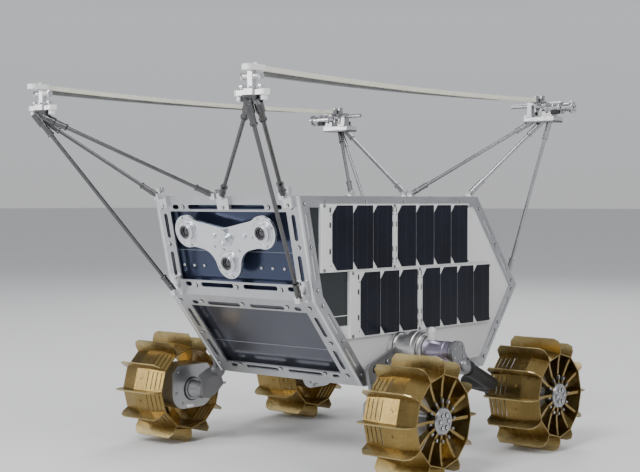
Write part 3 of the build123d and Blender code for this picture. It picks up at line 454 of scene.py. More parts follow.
def lens_barrel(place, colour, ring):
    """Silver rim on the bracket, with a black threaded bore whose thread rings are painted lighter as glints of
    light.
    """
    away = lens_distance(place)
    bore = away < LENS_BORE
    # Painted highlight: rings in the bore turn light grey, as light glinting on the threads
    thread_glint = away.maths("PINGPONG", away, 0.0006) < 0.0002
    pebble = cloud(place, 1800.0, 2.0)
    smudge = cloud(place, 30.0, 4.0)
    dark = blend_colours(thread_glint * 0.8, rgba(colour), rgba((0.34, 0.34, 0.35)))
    tone = blend_colours(bore, shades(smudge, ring, 0.8, 1.1), dark)
    rough = 0.36 + (smudge - 0.5) * 0.15
    return skin(tone, rough, 0.8 - bore * 0.6, normal=bump(pebble + smudge, 0.14, 0.0002))


def boom_film(place, colour, web_shade, tongue):
    """Pale film on the bar, its recessed lower part below the band painted dark as shade, and a bare metal
    tongue.
    """
    x, z = place.part("X"), place.part("Z")
    share = (x - HINGE[0]) * (1.0 / (FRONT_HEAD[0] - HINGE[0]))
    line = BOOM_Z - share * (1.0 - share) * (4 * BOOM_SAG)
    # Painted shade: the recessed web below the bar's upper band is painted dark
    under_in_shade = z < line - (BOOM_HALF_BAND + 0.0002)
    front = x > TONGUE_X
    crease = cloud(stretched(place, (14.0, 90.0, 90.0)), 3.0, 5.0)
    spots = cloud(place, 45.0, 4.0)
    tone = shades(spots, colour, 0.78, 1.12)
    tone = blend_colours(under_in_shade, tone, shades(spots, web_shade, 0.6, 1.3))
    tone = blend_colours(front, tone, shades(spots, tongue, 0.85, 1.05))
    rough = 0.40 + (crease - 0.5) * 0.3
    return skin(tone, rough, front * 0.2 + under_in_shade * (1.0 - front) * 0.3, normal=bump(crease, 0.3, 0.0007))


def clear_lens(place, colour):
    """Coated lens glass: dark, with a faint violet sheen."""
    tint = cloud(place, 60.0, 2.0)
    tone = blend_colours(tint, rgba(colour), rgba((0.020, 0.014, 0.034)))
    return skin(tone, 0.04 + tint * 0.03, 0.1, coat=1.0, coat_roughness=0.02)


def dark_rubber_and_shade(place, colour):
    """Dark gaps and seals, and the painted contact shadows and socket shade of the screws."""
    pebble = cloud(place, 2200.0, 2.0)
    return skin(shades(pebble, colour, 0.7, 1.4), 0.55 + pebble * 0.15, normal=bump(pebble, 0.2, 0.0002))


def plain_floor(place, colour):
    """Matt floor, barely mottled."""
    return skin(shades(cloud(place, 3.0, 2.0), colour, 0.98, 1.0), 0.85)


def colour_choice(name, description, default):
    return bpy.props.FloatVectorProperty(name=name, description=description, subtype="COLOR", default=default)


def distance_choice(name, description, default):
    return bpy.props.FloatProperty(name=name, description=description, subtype="DISTANCE", default=default)


class RoverColours(bpy.types.PropertyGroup):
    """Base colours of the finishes."""

    frame_metal: colour_choice("Frame rails", "Slotted rails round the body", (0.50, 0.51, 0.53))
    radiator: colour_choice("Radiator film", "Dark mirror panels on the sloping faces", (0.045, 0.058, 0.105))
    white_sheet: colour_choice("White sheet", "Side panels, decks and cell trays", (0.70, 0.70, 0.71))
    wheel_gold: colour_choice("Wheel gold", "Anodised wheel sheet", (0.30, 0.205, 0.072))
    boom_skin: colour_choice("Boom film", "Pale film on the booms", (0.74, 0.73, 0.62))
    arm_paint: colour_choice("Arm paint", "Suspension arms and links", (0.24, 0.24, 0.25))
    strut_metal: colour_choice("Strut metal", "Legs of the tripods", (0.14, 0.14, 0.142))


class RoverSizes(bpy.types.PropertyGroup):
    """Sizes of the small fittings, and of the floor."""

    screw_radius: distance_choice("Rail screw radius", "Radius of the screw heads on the rails", 2.3 * MM)
    screw_height: distance_choice("Rail screw height", "How far the screw heads stand up", 1.7 * MM)
    hub_bolt_radius: distance_choice("Hub bolt radius", "Radius of the bolt heads on the hubs", 2.2 * MM)
    floor_reach: distance_choice("Floor reach", "How far the floor spreads from the rover", 60.0)


FINISHES = {}


def made_finishes(colours):
    """Every material, by name. Most are named after the record's slots."""
    if FINISHES:
        return FINISHES
    collars = ((0.11, 0.11, 0.115), lambda place: stripe(place.part("Z"), COLLAR_MIDDLE_Z, COLLAR_HALF))
    # Painted light: the rear legs get a lighter grey than the front ones, as the lit legs with highlights
    lit_rear_struts = ((0.40, 0.40, 0.41), lambda place: place.part("X") < 0.0)
    outer_pivot = (
        (0.52, 0.48, 0.60),
        lambda place: (abs(place.part("Y")) > OUTER_STEP_Y) * (place.part("Z") < OUTER_STEP_TOP_Z),
    )
    recipes = {
        "frame_metal": (milled, colours.frame_metal, 0.36),
        "radiator": (radiator_film, colours.radiator),
        # The thin dark patch on the side sheet ahead of the trays
        "side_dark_patch": (black_satin, (0.020, 0.025, 0.027), 0.18),
        "white_sheet": (white_paint, colours.white_sheet),
        "deck_sheet": (white_paint, colours.white_sheet, 0.55),
        "solar_cell": (solar_glass, (0.003, 0.003, 0.004)),
        "camera_metal": (milled, (0.68, 0.70, 0.74), 0.27, 0.95),
        "camera_black": (lens_barrel, (0.010, 0.010, 0.012), (0.76, 0.76, 0.78)),
        "strut_metal": (turned_metal, colours.strut_metal, 0.30, lit_rear_struts),
        "head_metal": (milled, (0.74, 0.74, 0.75), 0.30, 0.85, collars),
        # The boom's second colour is the painted shade on its lower web
        "boom_skin": (boom_film, colours.boom_skin, (0.17, 0.17, 0.17), (0.88, 0.88, 0.88)),
        "drive_metal": (turned_metal, (0.50, 0.50, 0.51), 0.28),
        "pivot_metal": (turned_metal, (0.92, 0.92, 0.92), 0.34, outer_pivot),
        "arm_metal": (arm_paint, colours.arm_paint, (0.010, 0.010, 0.010)),
        "motor_metal": (milled, (0.56, 0.57, 0.58), 0.32),
        "wheel_gold": (wheel_sheet, colours.wheel_gold, (0.36, 0.36, 0.37)),
        "hub_grey": (milled, (0.36, 0.36, 0.37), 0.40),
        "dense_block": (black_satin, (0.30, 0.31, 0.33)),
        "screw_steel": (milled, (0.80, 0.80, 0.81), 0.20),
        # Dark finish of gaps and seals, also used for the painted shade round and in screw heads
        "dark_gap_and_shade": (dark_rubber_and_shade, (0.018, 0.018, 0.020)),
        "lens_glass": (clear_lens, (0.006, 0.006, 0.009)),
        "edge_white": (white_paint, (0.86, 0.86, 0.87), 0.4),
    }
    for name, recipe in recipes.items():
        FINISHES[name] = finish(name, *recipe)
    return FINISHES


def face_run(face):
    """Both corners of one face of the body, its outward direction and its length."""
    at = FACES[face]
    a, b = PROFILE[at], PROFILE[(at + 1) % 6]
    length = hypot(b[0] - a[0], b[1] - a[1])
    return a, b, Vector((-(b[1] - a[1]) / length, 0.0, (b[0] - a[0]) / length)), length


def face_point(face, y, down, lift=0.0):
    """A place on one face of the body: y across it, down along it from its first corner, lifted off it."""
    a, b, out, length = face_run(face)
    share = down / length
    return Vector((a[0] + (b[0] - a[0]) * share, y, a[1] + (b[1] - a[1]) * share)) + out * lift


def keep(obj, body):
    """Gives a finished piece its body."""
    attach(obj, body)
    return obj


def new_object(name, mesh):
    made = bpy.data.objects.new(name, mesh)
    bpy.context.scene.collection.objects.link(made)
    return made


def aim(obj, place, way):
    """Sets a lamp or the camera down and points it."""
    obj.location = place
    obj.rotation_euler = way.to_track_quat("-Z", "Y").to_euler()


def mirrored(items):
    """Left-hand items, each a place, a direction and more, and the same on the right."""
    both = []
    for place, way, *rest in items:
        for hand in (1, -1):
            at, towards = (Vector((p[0], hand * p[1], p[2])) for p in (place, way))
            both.append((at, towards, *rest))
    return both


def circle(middle, radius, count, start=0.0, way=OUT):
    """Places for heads on a circle about an axis across the rover. start is a share of one step."""
    places = []
    for k in range(count):
        turn = 2 * pi * (k + start) / count
        places.append(((middle[0] + radius * sin(turn), middle[1], middle[2] + radius * cos(turn)), way, 1.0))
    return places


def head_tree():
    """Geometry nodes that set a stepped head on every point, along its own direction."""
    tree = bpy.data.node_groups.new(HEAD_TREE, "GeometryNodeTree")
    inputs = {"Geometry": "Geometry", "Radius": "Float", "Height": "Float", "Rise": "Float"}
    inputs |= {"Sides": "Int", "Finish": "Material"}
    for name, kind in inputs.items():
        tree.interface.new_socket(name, in_out="INPUT", socket_type="NodeSocket" + kind)
    tree.interface.new_socket("Geometry", in_out="OUTPUT", socket_type="NodeSocketGeometry")
    make = Wire(tree)
    start = tree.nodes.new("NodeGroupInput")
    points, radius, height, rise, sides, coat = (Wire(tree, start.outputs[name]) for name in inputs)
    values = {"Vertices": sides, "Radius": radius, "Depth": height}
    solid = make.node("GeometryNodeMeshCylinder", {}, values)
    top = Wire(tree, solid.socket.node.outputs["Top"])
    for lift, shrink in ((0.16, 0.80), (0.0, 0.55)):
        values = {"Mesh": solid, "Selection": top, "Offset Scale": height * lift}
        solid = make.node("GeometryNodeExtrudeMesh", {"mode": "FACES"}, values)
        top = Wire(tree, solid.socket.node.outputs["Top"])
        values = {"Geometry": solid, "Selection": top, "Scale": shrink}
        solid = make.node("GeometryNodeScaleElements", {}, values)
    up = make.node("ShaderNodeCombineXYZ", {}, {2: height * 0.5 + rise})
    solid = make.node("GeometryNodeTransform", {}, {"Geometry": solid, "Translation": up})
    way = make.node("GeometryNodeInputNamedAttribute", {"data_type": "FLOAT_VECTOR"}, {"Name": "way"})
    turn = make.node("FunctionNodeAlignRotationToVector", {"axis": "Z"}, {"Vector": way})
    size = make.node("GeometryNodeInputNamedAttribute", {"data_type": "FLOAT"}, {"Name": "size"})
    values = {"Points": points, "Instance": solid, "Rotation": turn, "Scale": size}
    placed = make.node("GeometryNodeInstanceOnPoints", {}, values)
    real = make.node("GeometryNodeRealizeInstances", {}, {"Geometry": placed})
    coated = make.node("GeometryNodeSetMaterial", {}, {"Geometry": real, "Material": coat})
    end = tree.nodes.new("NodeGroupOutput")
    tree.links.new(coated.socket, end.inputs[0])
    return tree


def put_inputs(modifier, values):
    """Sets a modifier's inputs by the identifiers of its sockets."""
    for item in modifier.node_group.interface.items_tree:
        if item.item_type == "SOCKET" and item.in_out == "INPUT" and item.name in values:
            modifier[item.identifier] = values[item.name]


def settled(obj, name):
    """The evaluated object as a plain mesh object."""
    graph = bpy.context.evaluated_depsgraph_get()
    mesh = bpy.data.meshes.new_from_object(obj.evaluated_get(graph))
    made = new_object(name, mesh)
    bpy.data.objects.remove(obj)
    return made


def heads(name, places, radius, height, rise, sides, slot_name, finish_name, body=ROOT):
    """One mesh of round heads. Each place is a point, a direction and a size."""
    mesh = bpy.data.meshes.new(name + "_places")
    mesh.from_pydata([tuple(place) for place, way, size in places], [], [])
    ways = mesh.attributes.new("way", "FLOAT_VECTOR", "POINT")
    ways.data.foreach_set("vector", [part for place, way, size in places for part in way])
    sizes = mesh.attributes.new("size", "FLOAT", "POINT")
    sizes.data.foreach_set("value", [size for place, way, size in places])
    seed = new_object(name + "_places", mesh)
    modifier = seed.modifiers.new("Heads", "NODES")
    modifier.node_group = bpy.data.node_groups.get(HEAD_TREE) or head_tree()
    coat = FINISHES[finish_name]
    put_inputs(modifier, {"Radius": radius, "Height": height, "Rise": rise, "Sides": sides, "Finish": coat})
    return keep(settled(seed, name), body)


def screws(name, places, radius, height, slot_name="frame_metal", finish_name="screw_steel", body=ROOT):
    """Screws: bright heads, each on a dark ring painted as its contact shadow, and with a dark disc painted as
    the shade in its socket.
    """
    for ending, wide, high, rise, sides, coat in (
        ("", 1.0, 1.0, 0.0, 12, finish_name),
        # Painted shade: a dark ring round each head as its contact shadow, and a dark disc on top as the shade
        # in its socket
        ("_washers", 1.32, 0.22, 0.0, 14, "dark_gap_and_shade"),
        ("_sockets", 0.46, 0.06, 1.15, 6, "dark_gap_and_shade"),
    ):
        sizes = (radius * wide, height * high, height * rise)
        heads(name + ending, places, *sizes, sides, slot_name, coat, body)


def turned(form, place, way, profile, sides, loop=False):
    """Adds a turned shape. Each row of the profile is a radius and a height along way."""
    way = Vector(way).normalized()
    upright = Vector(UP) if abs(way.z) < 0.9 else Vector(AHEAD)
    across = upright.cross(way).normalized()
    along = way.cross(across)
    loops = []
    for radius, height in profile:
        centre = Vector(place) + way * height
        turns = [2 * pi * k / sides for k in range(sides)] if radius else [0.0]
        loops.append([form.verts.new(centre + (across * cos(a) + along * sin(a)) * radius) for a in turns])
    for low, high in zip(loops, loops[1:] + (loops[:1] if loop else [])):
        for k in range(sides):
            n = (k + 1) % sides
            corners = (low[k % len(low)], low[n % len(low)], high[n % len(high)], high[k % len(high)])
            form.faces.new(tuple(dict.fromkeys(corners)))


def ring_rows(inner, outer, start, end, soft=0.0002):
    """Profile rows of a closed ring with softened outer edges."""
    return (
        (inner, start),
        (outer - soft, start),
        (outer, start + soft),
        (outer, end - soft),
        (outer - soft, end),
        (inner, end),
    )


def cap_rows(radius, height, soft=0.0004):
    """Profile rows of a round cap that stands on a face, closed at both ends."""
    return ((0, 0.0), (radius, 0.0), (radius, height - soft), (radius - soft, height), (0, height))


def block(form, middle, way, size, soft, across):
    """Adds a block with softened edges: size is across, along and thick, the last along way."""
    first, out = Vector(across).normalized(), Vector(way).normalized()
    second = out.cross(first)
    made = bmesh.ops.create_cube(form, size=1.0)
    for vert in made["verts"]:
        x, y, z = (vert.co[k] * size[k] for k in range(3))
        vert.co = Vector(middle) + first * x + second * y + out * z
    edges = {edge for vert in made["verts"] for edge in vert.link_edges}
    bmesh.ops.bevel(form, geom=list(edges), offset=soft, segments=1, affect="EDGES")


def plate(form, outline, way, thick):
    """Adds a flat plate: its outline lies on what carries it, and it stands up along way."""
    rise = Vector(way).normalized() * thick
    low = [form.verts.new(Vector(p)) for p in outline]
    high = [form.verts.new(Vector(p) + rise) for p in outline]
    form.faces.new(low)
    form.faces.new(list(reversed(high)))
    for k in range(len(low)):
        n = (k + 1) % len(low)
        form.faces.new((low[k], high[k], high[n], low[n]))


def slot_outline(x, y, z, width, length, steps=5):
    """The outline of an upright slot with round ends, on a face square to Y."""
    points = []
    for end in (1, -1):
        for k in range(steps + 1):
            turn = pi * k / steps
            rise = (length - width + width * sin(turn)) / 2
            points.append((x + end * width * cos(turn) / 2, y, z + end * rise))
    return points


def piece(name, slot_name, finish_name, fill, *tables, body=ROOT):
    """One mesh that fill() draws, with its normals outwards and its round parts smooth."""
    form = bmesh.new()
    fill(form, *tables)
    bmesh.ops.recalc_face_normals(form, faces=form.faces[:])
    for face in form.faces:
        face.smooth = True
    mesh = bpy.data.meshes.new(name)
    form.to_mesh(mesh)
    form.free()
    mesh.set_sharp_from_angle(angle=SHARP_ANGLE)
    mesh.materials.append(FINISHES[finish_name])
    return keep(new_object(name, mesh), body)


def rings(form, table):
    """Adds rings on both sides. Columns: place, direction, both radii, start, end, softening, sides."""
    for place, way, inner, outer, start, end, soft, sides in mirrored(table):
        turned(form, place, way, ring_rows(inner, outer, start, end, soft), sides, True)


def rings_and_caps(form, ring_table, cap_table):
    """Adds rings and caps on both sides. A cap: place, direction, radius, height, softening, sides."""
    rings(form, ring_table)
    for place, way, radius, height, soft, sides in mirrored(cap_table):
        turned(form, place, way, cap_rows(radius, height, soft), sides)


def blocks(form, table):
    """Adds blocks on both sides. Columns: place, direction, size from fore-and-aft on, softening."""
    for place, way, size, soft in mirrored(table):
        block(form, place, way, size, soft, AHEAD)


def rail_screw_places():
    """Screws between the slots of the four sloping frames, near their ends and halfway down their sides."""
    places = []
    for face in SLOPES:
        out, length = face_run(face)[2:]
        near, far = (0.0142, 0.0128) if "upper" in face else (0.0118, 0.0172)
        if "rear" in face:
            near, far = far, near
        for down in (near, length - far):
            for y in (-0.1165, -0.0765, -0.003, 0.0735, 0.1105):
                places.append((face_point(face, y, down), out, 1.0))
        places += mirrored([(face_point(face, 0.113, length * 0.487), out, 1.0)])
    return places


def side_screw_places():
    """Screws along the slotted rails on both sides, and along the top sheet's rim."""
    places = [((x, HALF_BODY, 0.3405), OUT, 0.6) for x in (0.12, 0.04, -0.04, -0.12, -0.17)]
    places += [((x, 0.1115, TOP_Z), UP, 0.8) for x in (0.155, 0.06, -0.03, -0.12, -0.203)]
    for face in SLOPES:
        length = face_run(face)[3]
        for share in (0.085, 0.495, 0.905):
            places.append((face_point(face, HALF_BODY, length * share, -0.0068), OUT, 0.85))
    return mirrored(places)


class RoverStage(bpy.types.Operator):
    """Pale floor, soft lights and the camera"""

    bl_idname = "rover.stage"
    bl_label = "Stage, lights and camera"

    def execute(self, context):
        scene = context.scene
        floor = new_object("floor", bpy.data.meshes.new("floor"))
        form = bmesh.new()
        bmesh.ops.create_grid(form, x_segments=24, y_segments=24, size=scene.rover_sizes.floor_reach)
        form.to_mesh(floor.data)
        form.free()
        floor.data.materials.append(finish("floor", plain_floor, (0.78, 0.78, 0.78)))
        world = bpy.data.worlds.new("studio")
        world.use_nodes = True
        tree = world.node_tree
        place = Wire(tree).node("ShaderNodeTexCoord", {}, {}, "Generated")
        stops = (
            (0.46, (0.70, 0.70, 0.70, 1.0)),
            (0.57, (0.78, 0.80, 0.84, 1.0)),
            (0.66, (0.30, 0.31, 0.33, 1.0)),
            (0.80, (0.24, 0.25, 0.27, 1.0)),
            (0.90, (0.95, 0.97, 1.0, 1.0)),
        )
        height = place.part("Z") * 0.5 + 0.5
        sky = height.node("ShaderNodeValToRGB", {"stops": stops}, {0: height})
        background = tree.nodes["Background"]
        tree.links.new(sky.socket, background.inputs["Color"])
        background.inputs["Strength"].default_value = 0.75
        scene.world = world
        for name, place, size, power in (
            ("key", (2.2, 0.5, 2.3), 1.0, 62.0),
            ("fill", (0.3, 2.6, 1.9), 1.6, 40.0),
            ("edge", (2.0, -1.8, 1.1), 0.9, 26.0),
            ("back", (-2.4, -1.2, 2.4), 1.4, 36.0),
        ):
            lamp = bpy.data.lights.new(name, "AREA")
            lamp.energy = power
            lamp.size = size
            aim(new_object(name, lamp), place, LAMPS_AIM - Vector(place))
        lens = bpy.data.cameras.new("camera")
        lens.sensor_width = 36.0
        lens.lens = CAMERA_LENS
        scene.camera = new_object("camera", lens)
        yaw, pitch = radians(CAMERA_YAW), radians(CAMERA_PITCH)
        look = Vector((cos(yaw) * cos(pitch), sin(yaw) * cos(pitch), sin(pitch)))
        aim(scene.camera, CAMERA_PLACE, look)
        return {"FINISHED"}


class RoverFinishes(bpy.types.Operator):
    """Gives every solid its finish"""

    bl_idname = "rover.finishes"
    bl_label = "Finishes"

    def execute(self, context):
        finishes = made_finishes(context.scene.rover_colours)
        slots = {s["node"]: s["material_slot"] for s in frame["record"]["subparts"]}
        for node, obj in frame["nodes"].items():
            obj.data.materials.clear()
            obj.data.materials.append(finishes[slots[node]])
        return {"FINISHED"}


class RoverRailScrews(bpy.types.Operator):
    """Screw heads along the slotted rails and the top sheet's rim"""

    bl_idname = "rover.rail_screws"
    bl_label = "Rail screws"

    def execute(self, context):
        sizes = context.scene.rover_sizes
        places = rail_screw_places() + side_screw_places()
        screws("rail_screws", places, sizes.screw_radius, sizes.screw_height)
        return {"FINISHED"}


class RoverTrayFittings(bpy.types.Operator):
    """Folded lips, slots and screws of the cell trays, and a thin dark patch ahead of them"""

    bl_idname = "rover.tray_fittings"
    bl_label = "Tray fittings"

    def execute(self, context):
        def slots(form):
            for front, rear, top, bottom in TRAYS:
                for back_by, width, count in SLOT_COLUMNS:
                    for drop, length in SLOT_DROPS[:count]:
                        for hand in HANDS:
                            middle = (front - back_by, hand * TRAY_FACE_Y, top - drop)
                            plate(form, slot_outline(*middle, width, length), (0, hand, 0), 0.0002)

        # A thin dark plate on each side sheet ahead of the trays
        def film(form):
            for hand in HANDS:
                plate(form, [(x, hand * SIDE_SHEET_Y, z) for x, z in DARK_PATCH_OUTLINE], (0, hand, 0), 0.0003)

        gaps, lips, corners, dots = [], [], [], []
        for (front, rear, top, bottom), places in zip(TRAYS, CELL_GAPS):
            middle = (top + bottom) / 2
            for back_by in places:
                place = (PROFILE[0][0] - back_by, GAP_Y, middle)
                gaps.append((place, OUT, (0.0003, 0.0590, 0.0008), 0.00005))
            lips.append(((front + 0.0006, LIP_Y, middle), OUT, (0.0012, top - bottom, 0.0045), 0.0002))
            for x in (front - 0.0050, front - DIVIDER_BACK - 0.0058):
                for z in (top - 0.0026, bottom + 0.0026):
                    corners.append(((x, TRAY_FACE_Y, z), OUT, 1.0))
            for z in (top - 0.004, bottom + 0.004):
                corners.append(((rear + 0.0024, TRAY_FACE_Y, z), OUT, 0.7))
            for x in (front - 0.0170, front - DIVIDER_BACK - 0.0022, front - DIVIDER_BACK - 0.0092):
                for z in (top - 0.0136, bottom + 0.0080):
                    dots.append(((x, TRAY_FACE_Y, z), OUT, 1.0))
        seams = [((0.0895, SIDE_SHEET_Y + 0.00035, 0.1985), OUT, (0.0370, 0.0008, 0.0003), 0.0001)]
        piece("cell_gaps", "white_sheet", "frame_metal", blocks, gaps)
        piece("tray_lips", "white_sheet", "edge_white", blocks, lips)
        piece("tray_slots", "camera_black", "dark_gap_and_shade", slots)
        piece("side_dark_patch", "radiator", "side_dark_patch", film)
        piece("side_patch_seams", "white_sheet", "edge_white", blocks, seams)
        screws("tray_screws", mirrored(corners), 1.7 * MM, 0.9 * MM, "hub_grey", "hub_grey")
        heads("tray_dots", mirrored(dots), 0.9 * MM, 0.25 * MM, 0.0, 10, "camera_black", "dark_gap_and_shade")
        return {"FINISHED"}


class RoverCameraFittings(bpy.types.Operator):
    """Lens glass, threads, ridges, posts and screws on the camera bracket, and the bolts below it"""

    bl_idname = "rover.camera_fittings"
    bl_label = "Camera fittings"

    def execute(self, context):
        out = face_run("front_upper")[2]

        def spot(y, down, lift=BRACKET_LIFT):
            return face_point("front_upper", y, down, lift)

        def glass(form):
            for y, down in LENSES:
                turned(form, spot(y, down, BRACKET_LIFT + 0.0008), out, GLASS_PROFILE, 40)

        def threads(form):
            for y, down in LENSES:
                for k in range(3):
                    start = 0.0010 + k * 0.0010
                    rows = ring_rows(0.00635 - 0.0004 * (2 - k), 0.0072, start, start + 0.0004, 0.0001)
                    turned(form, spot(y, down), out, rows, 40, True)

        def ridges(form):
            for y, down in LENSES:
                for inner, outer, high, lift in RIDGES:
                    turned(form, spot(y, down, lift), out, ring_rows(inner, outer, 0.0, high), 48, True)

        def posts(form):
            for y, down, radius, height, sides in BRACKET_POSTS:
                turned(form, spot(y, down), out, cap_rows(radius, height, 0.0007), sides)

        piece("lens_glass", "camera_black", "lens_glass", glass)
        piece("lens_threads", "camera_black", "camera_black", threads)
        piece("lens_ridges", "camera_metal", "camera_metal", ridges)
        piece("bracket_posts", "camera_metal", "camera_metal", posts)
        small = []
        for y, down in LENSES:
            for turn in (20, 105, 200, 285):
                across, along = cos(radians(turn)), sin(radians(turn))
                small.append((spot(y + LENS_SCREWS * across, down - LENS_SCREWS * along), out, 1.0))
        for y, down in ((-0.020, 0.063), (0.022, 0.068), (-0.0085, 0.0575)):
            small.append((spot(y, down), out, 1.2))
        screws("bracket_screws", small, 1.2 * MM, 0.9 * MM, "camera_metal")
        bolts = []
        for y in (-0.102, -0.0835, -0.065, 0.036, 0.0555, 0.075):
            bolts.append((spot(y, 0.095, -PANEL_DEPTH), out, 1.0))
        screws("panel_bolts", bolts, 1.7 * MM, 1.4 * MM, "camera_metal", "edge_white")
        return {"FINISHED"}


class RoverWheelFittings(bpy.types.Operator):
    """Buttons on the tread, hub caps and bolts, and grey tabs on the fins"""

    bl_idname = "rover.wheel_fittings"
    bl_label = "Wheel fittings"

    def execute(self, context):
        radius = context.scene.rover_sizes.hub_bolt_radius
        for name, axle, side in WHEELS:
            body = name + "_wheel"
            way = Vector((0, side, 0))
            hub = Vector((axle, side * WHEEL_FACE_Y, AXLE_Z))

            def spoke(k, distance, y):
                """The place at step k of the wheel's turn, and the direction out to it."""
                turn = 2 * pi * k / SEGMENTS
                radial = Vector((sin(turn), 0, cos(turn)))
                return Vector((axle, side * y, AXLE_Z)) + radial * distance, radial

            def hub_cap(form):
                turned(form, hub, way, cap_rows(0.0052, 0.0008), 28)
                turned(form, hub, way, ring_rows(0.0118, 0.0130, 0.0, 0.0005), 40, True)

            def fin_tabs(form):
                for k in range(SEGMENTS):
                    middle, radial = spoke(k, 0.0248, WHEEL_MID_Y + 0.0366)
                    sideways = radial.cross(way)
                    block(form, middle - sideways * 0.0012, way, (0.0026, 0.0042, 0.0024), 0.0005, sideways)

            piece(name + "_hub_cap", "hub_grey", "hub_grey", hub_cap, body=body)
            piece(name + "_fin_tabs", "hub_grey", "hub_grey", fin_tabs, body=body)
            bolts = circle(hub, 0.0086, 6, 0.5, way)
            screws(name + "_hub_bolts", bolts, radius, 1.3 * MM, "hub_grey", body=body)
            halfway = [spoke(k + 0.5, 0.0595, WHEEL_MID_Y + 0.004) for k in range(SEGMENTS)]
            buttons = [(place, radial, 1.0) for place, radial in halfway]
            heads(name + "_buttons", buttons, 1.7 * MM, 0.7 * MM, 0.0, 12, "wheel_gold", "wheel_gold", body)
        return {"FINISHED"}


class RoverMotorFittings(bpy.types.Operator):
    """Seals, clips and screws on the wheel motors"""

    bl_idname = "rover.motor_fittings"
    bl_label = "Motor fittings"

    def execute(self, context):
        seals, clips, places = [], [], []
        for axle in AXLES_X:
            face = (axle, MOTOR_FACE_Y, AXLE_Z)
            seals.append((face, IN, 0.0149, 0.0168, -0.0002, 0.0009, 0.0002, 40))
            seals.append((face, IN, 0.0119, 0.0127, 0.0025, 0.0034, 0.0002, 40))
            for dx, dz, wide, tall in MOTOR_CLIPS:
                middle = (axle + dx, MOTOR_FACE_Y - 0.0016, AXLE_Z + dz)
                clips.append((middle, IN, (wide, tall, 0.0036), 0.0007))
            for dx, dz in MOTOR_SCREWS:
                places.append(((axle + dx, MOTOR_FACE_Y, AXLE_Z + dz), IN, 1.0))
        piece("motor_seals", "camera_black", "dark_gap_and_shade", rings, seals)
        piece("motor_clips", "white_sheet", "edge_white", blocks, clips)
        screws("motor_screws", mirrored(places), 1.6 * MM, 1.1 * MM, "motor_metal")
        return {"FINISHED"}


class RoverSuspensionFittings(bpy.types.Operator):
    """Grooves, ports, screws and clamps on the pivots and arms"""

    bl_idname = "rover.suspension_fittings"
    bl_label = "Suspension fittings"

    def execute(self, context):
        x, z = PIVOT
        port = Vector((0.80, 0, -0.60))
        port_middle = Vector((x, FRONT_PORT_Y, z))
        grooves = []
        for y, radius in PIVOT_GROOVES:
            grooves.append(((x, y, z), OUT, radius - 0.0012, radius, -0.0005, 0.0005, 0.0001, 48))
        collars = (
            ((x, 0.1630, z), OUT, 0.0228, 0.0250, 0.0, 0.0030, 0.0006, 56),
            ((x, 0.2050, z), OUT, 0.0128, 0.0140, 0.0, 0.0018, 0.0004, 44),
            ((x, TOP_PORT_Y, z), UP, 0.0058, 0.0068, 0.0225, 0.0262, 0.0005, 32),
            (port_middle + port * 0.0126, port, 0.0032, 0.0046, 0.0, 0.0012, 0.0003, 28),
        )
        top_caps = [((x, TOP_PORT_Y, z + 0.0290), UP, 0.0036, 0.0010, 0.0004, 24)]
        sockets = [(port_middle + port * 0.0124, port, 0.0033, 0.0009, 0.0002, 24)]
        start, end = (Vector(point) for point in REAR_TUBE)
        clamps = [(start + (end - start) * 0.15, end - start, 0.0088, 0.0102, 0.0, 0.0050, 0.0008, 40)]
        piece("pivot_grooves", "camera_black", "dark_gap_and_shade", rings, grooves)
        piece("pivot_collars", "pivot_metal", "pivot_metal", rings_and_caps, collars, top_caps)
        piece("pivot_sockets", "camera_black", "dark_gap_and_shade", rings_and_caps, (), sockets)
        piece("arm_clamps", "arm_metal", "arm_metal", rings, clamps)
        link = circle((x, LINK_FACE_Y, z), 0.0112, 6)
        link.append(((-0.0385, LINK_FACE_Y, 0.1330), OUT, 1.3))
        screws("link_screws", mirrored(link), 1.3 * MM, 0.9 * MM, "arm_metal")
        arm = (
            ((0.0362, 0.1388, 0.1285), OUT, 1.7),
            ((0.0440, 0.1470, 0.0925), OUT, 1.0),
            ((0.0315, 0.1470, 0.0900), OUT, 1.0),
            ((0.0120, 0.1388, 0.1365), OUT, 1.0),
        )
        screws("arm_screws", mirrored(arm), 2.2 * MM, 1.8 * MM, "arm_metal")
        flange = circle((x, PIVOT_GROOVES[0][0], z), 0.0187, 8, 0.5)
        screws("flange_screws", mirrored(flange), 1.2 * MM, 1.0 * MM, "pivot_metal")
        return {"FINISHED"}


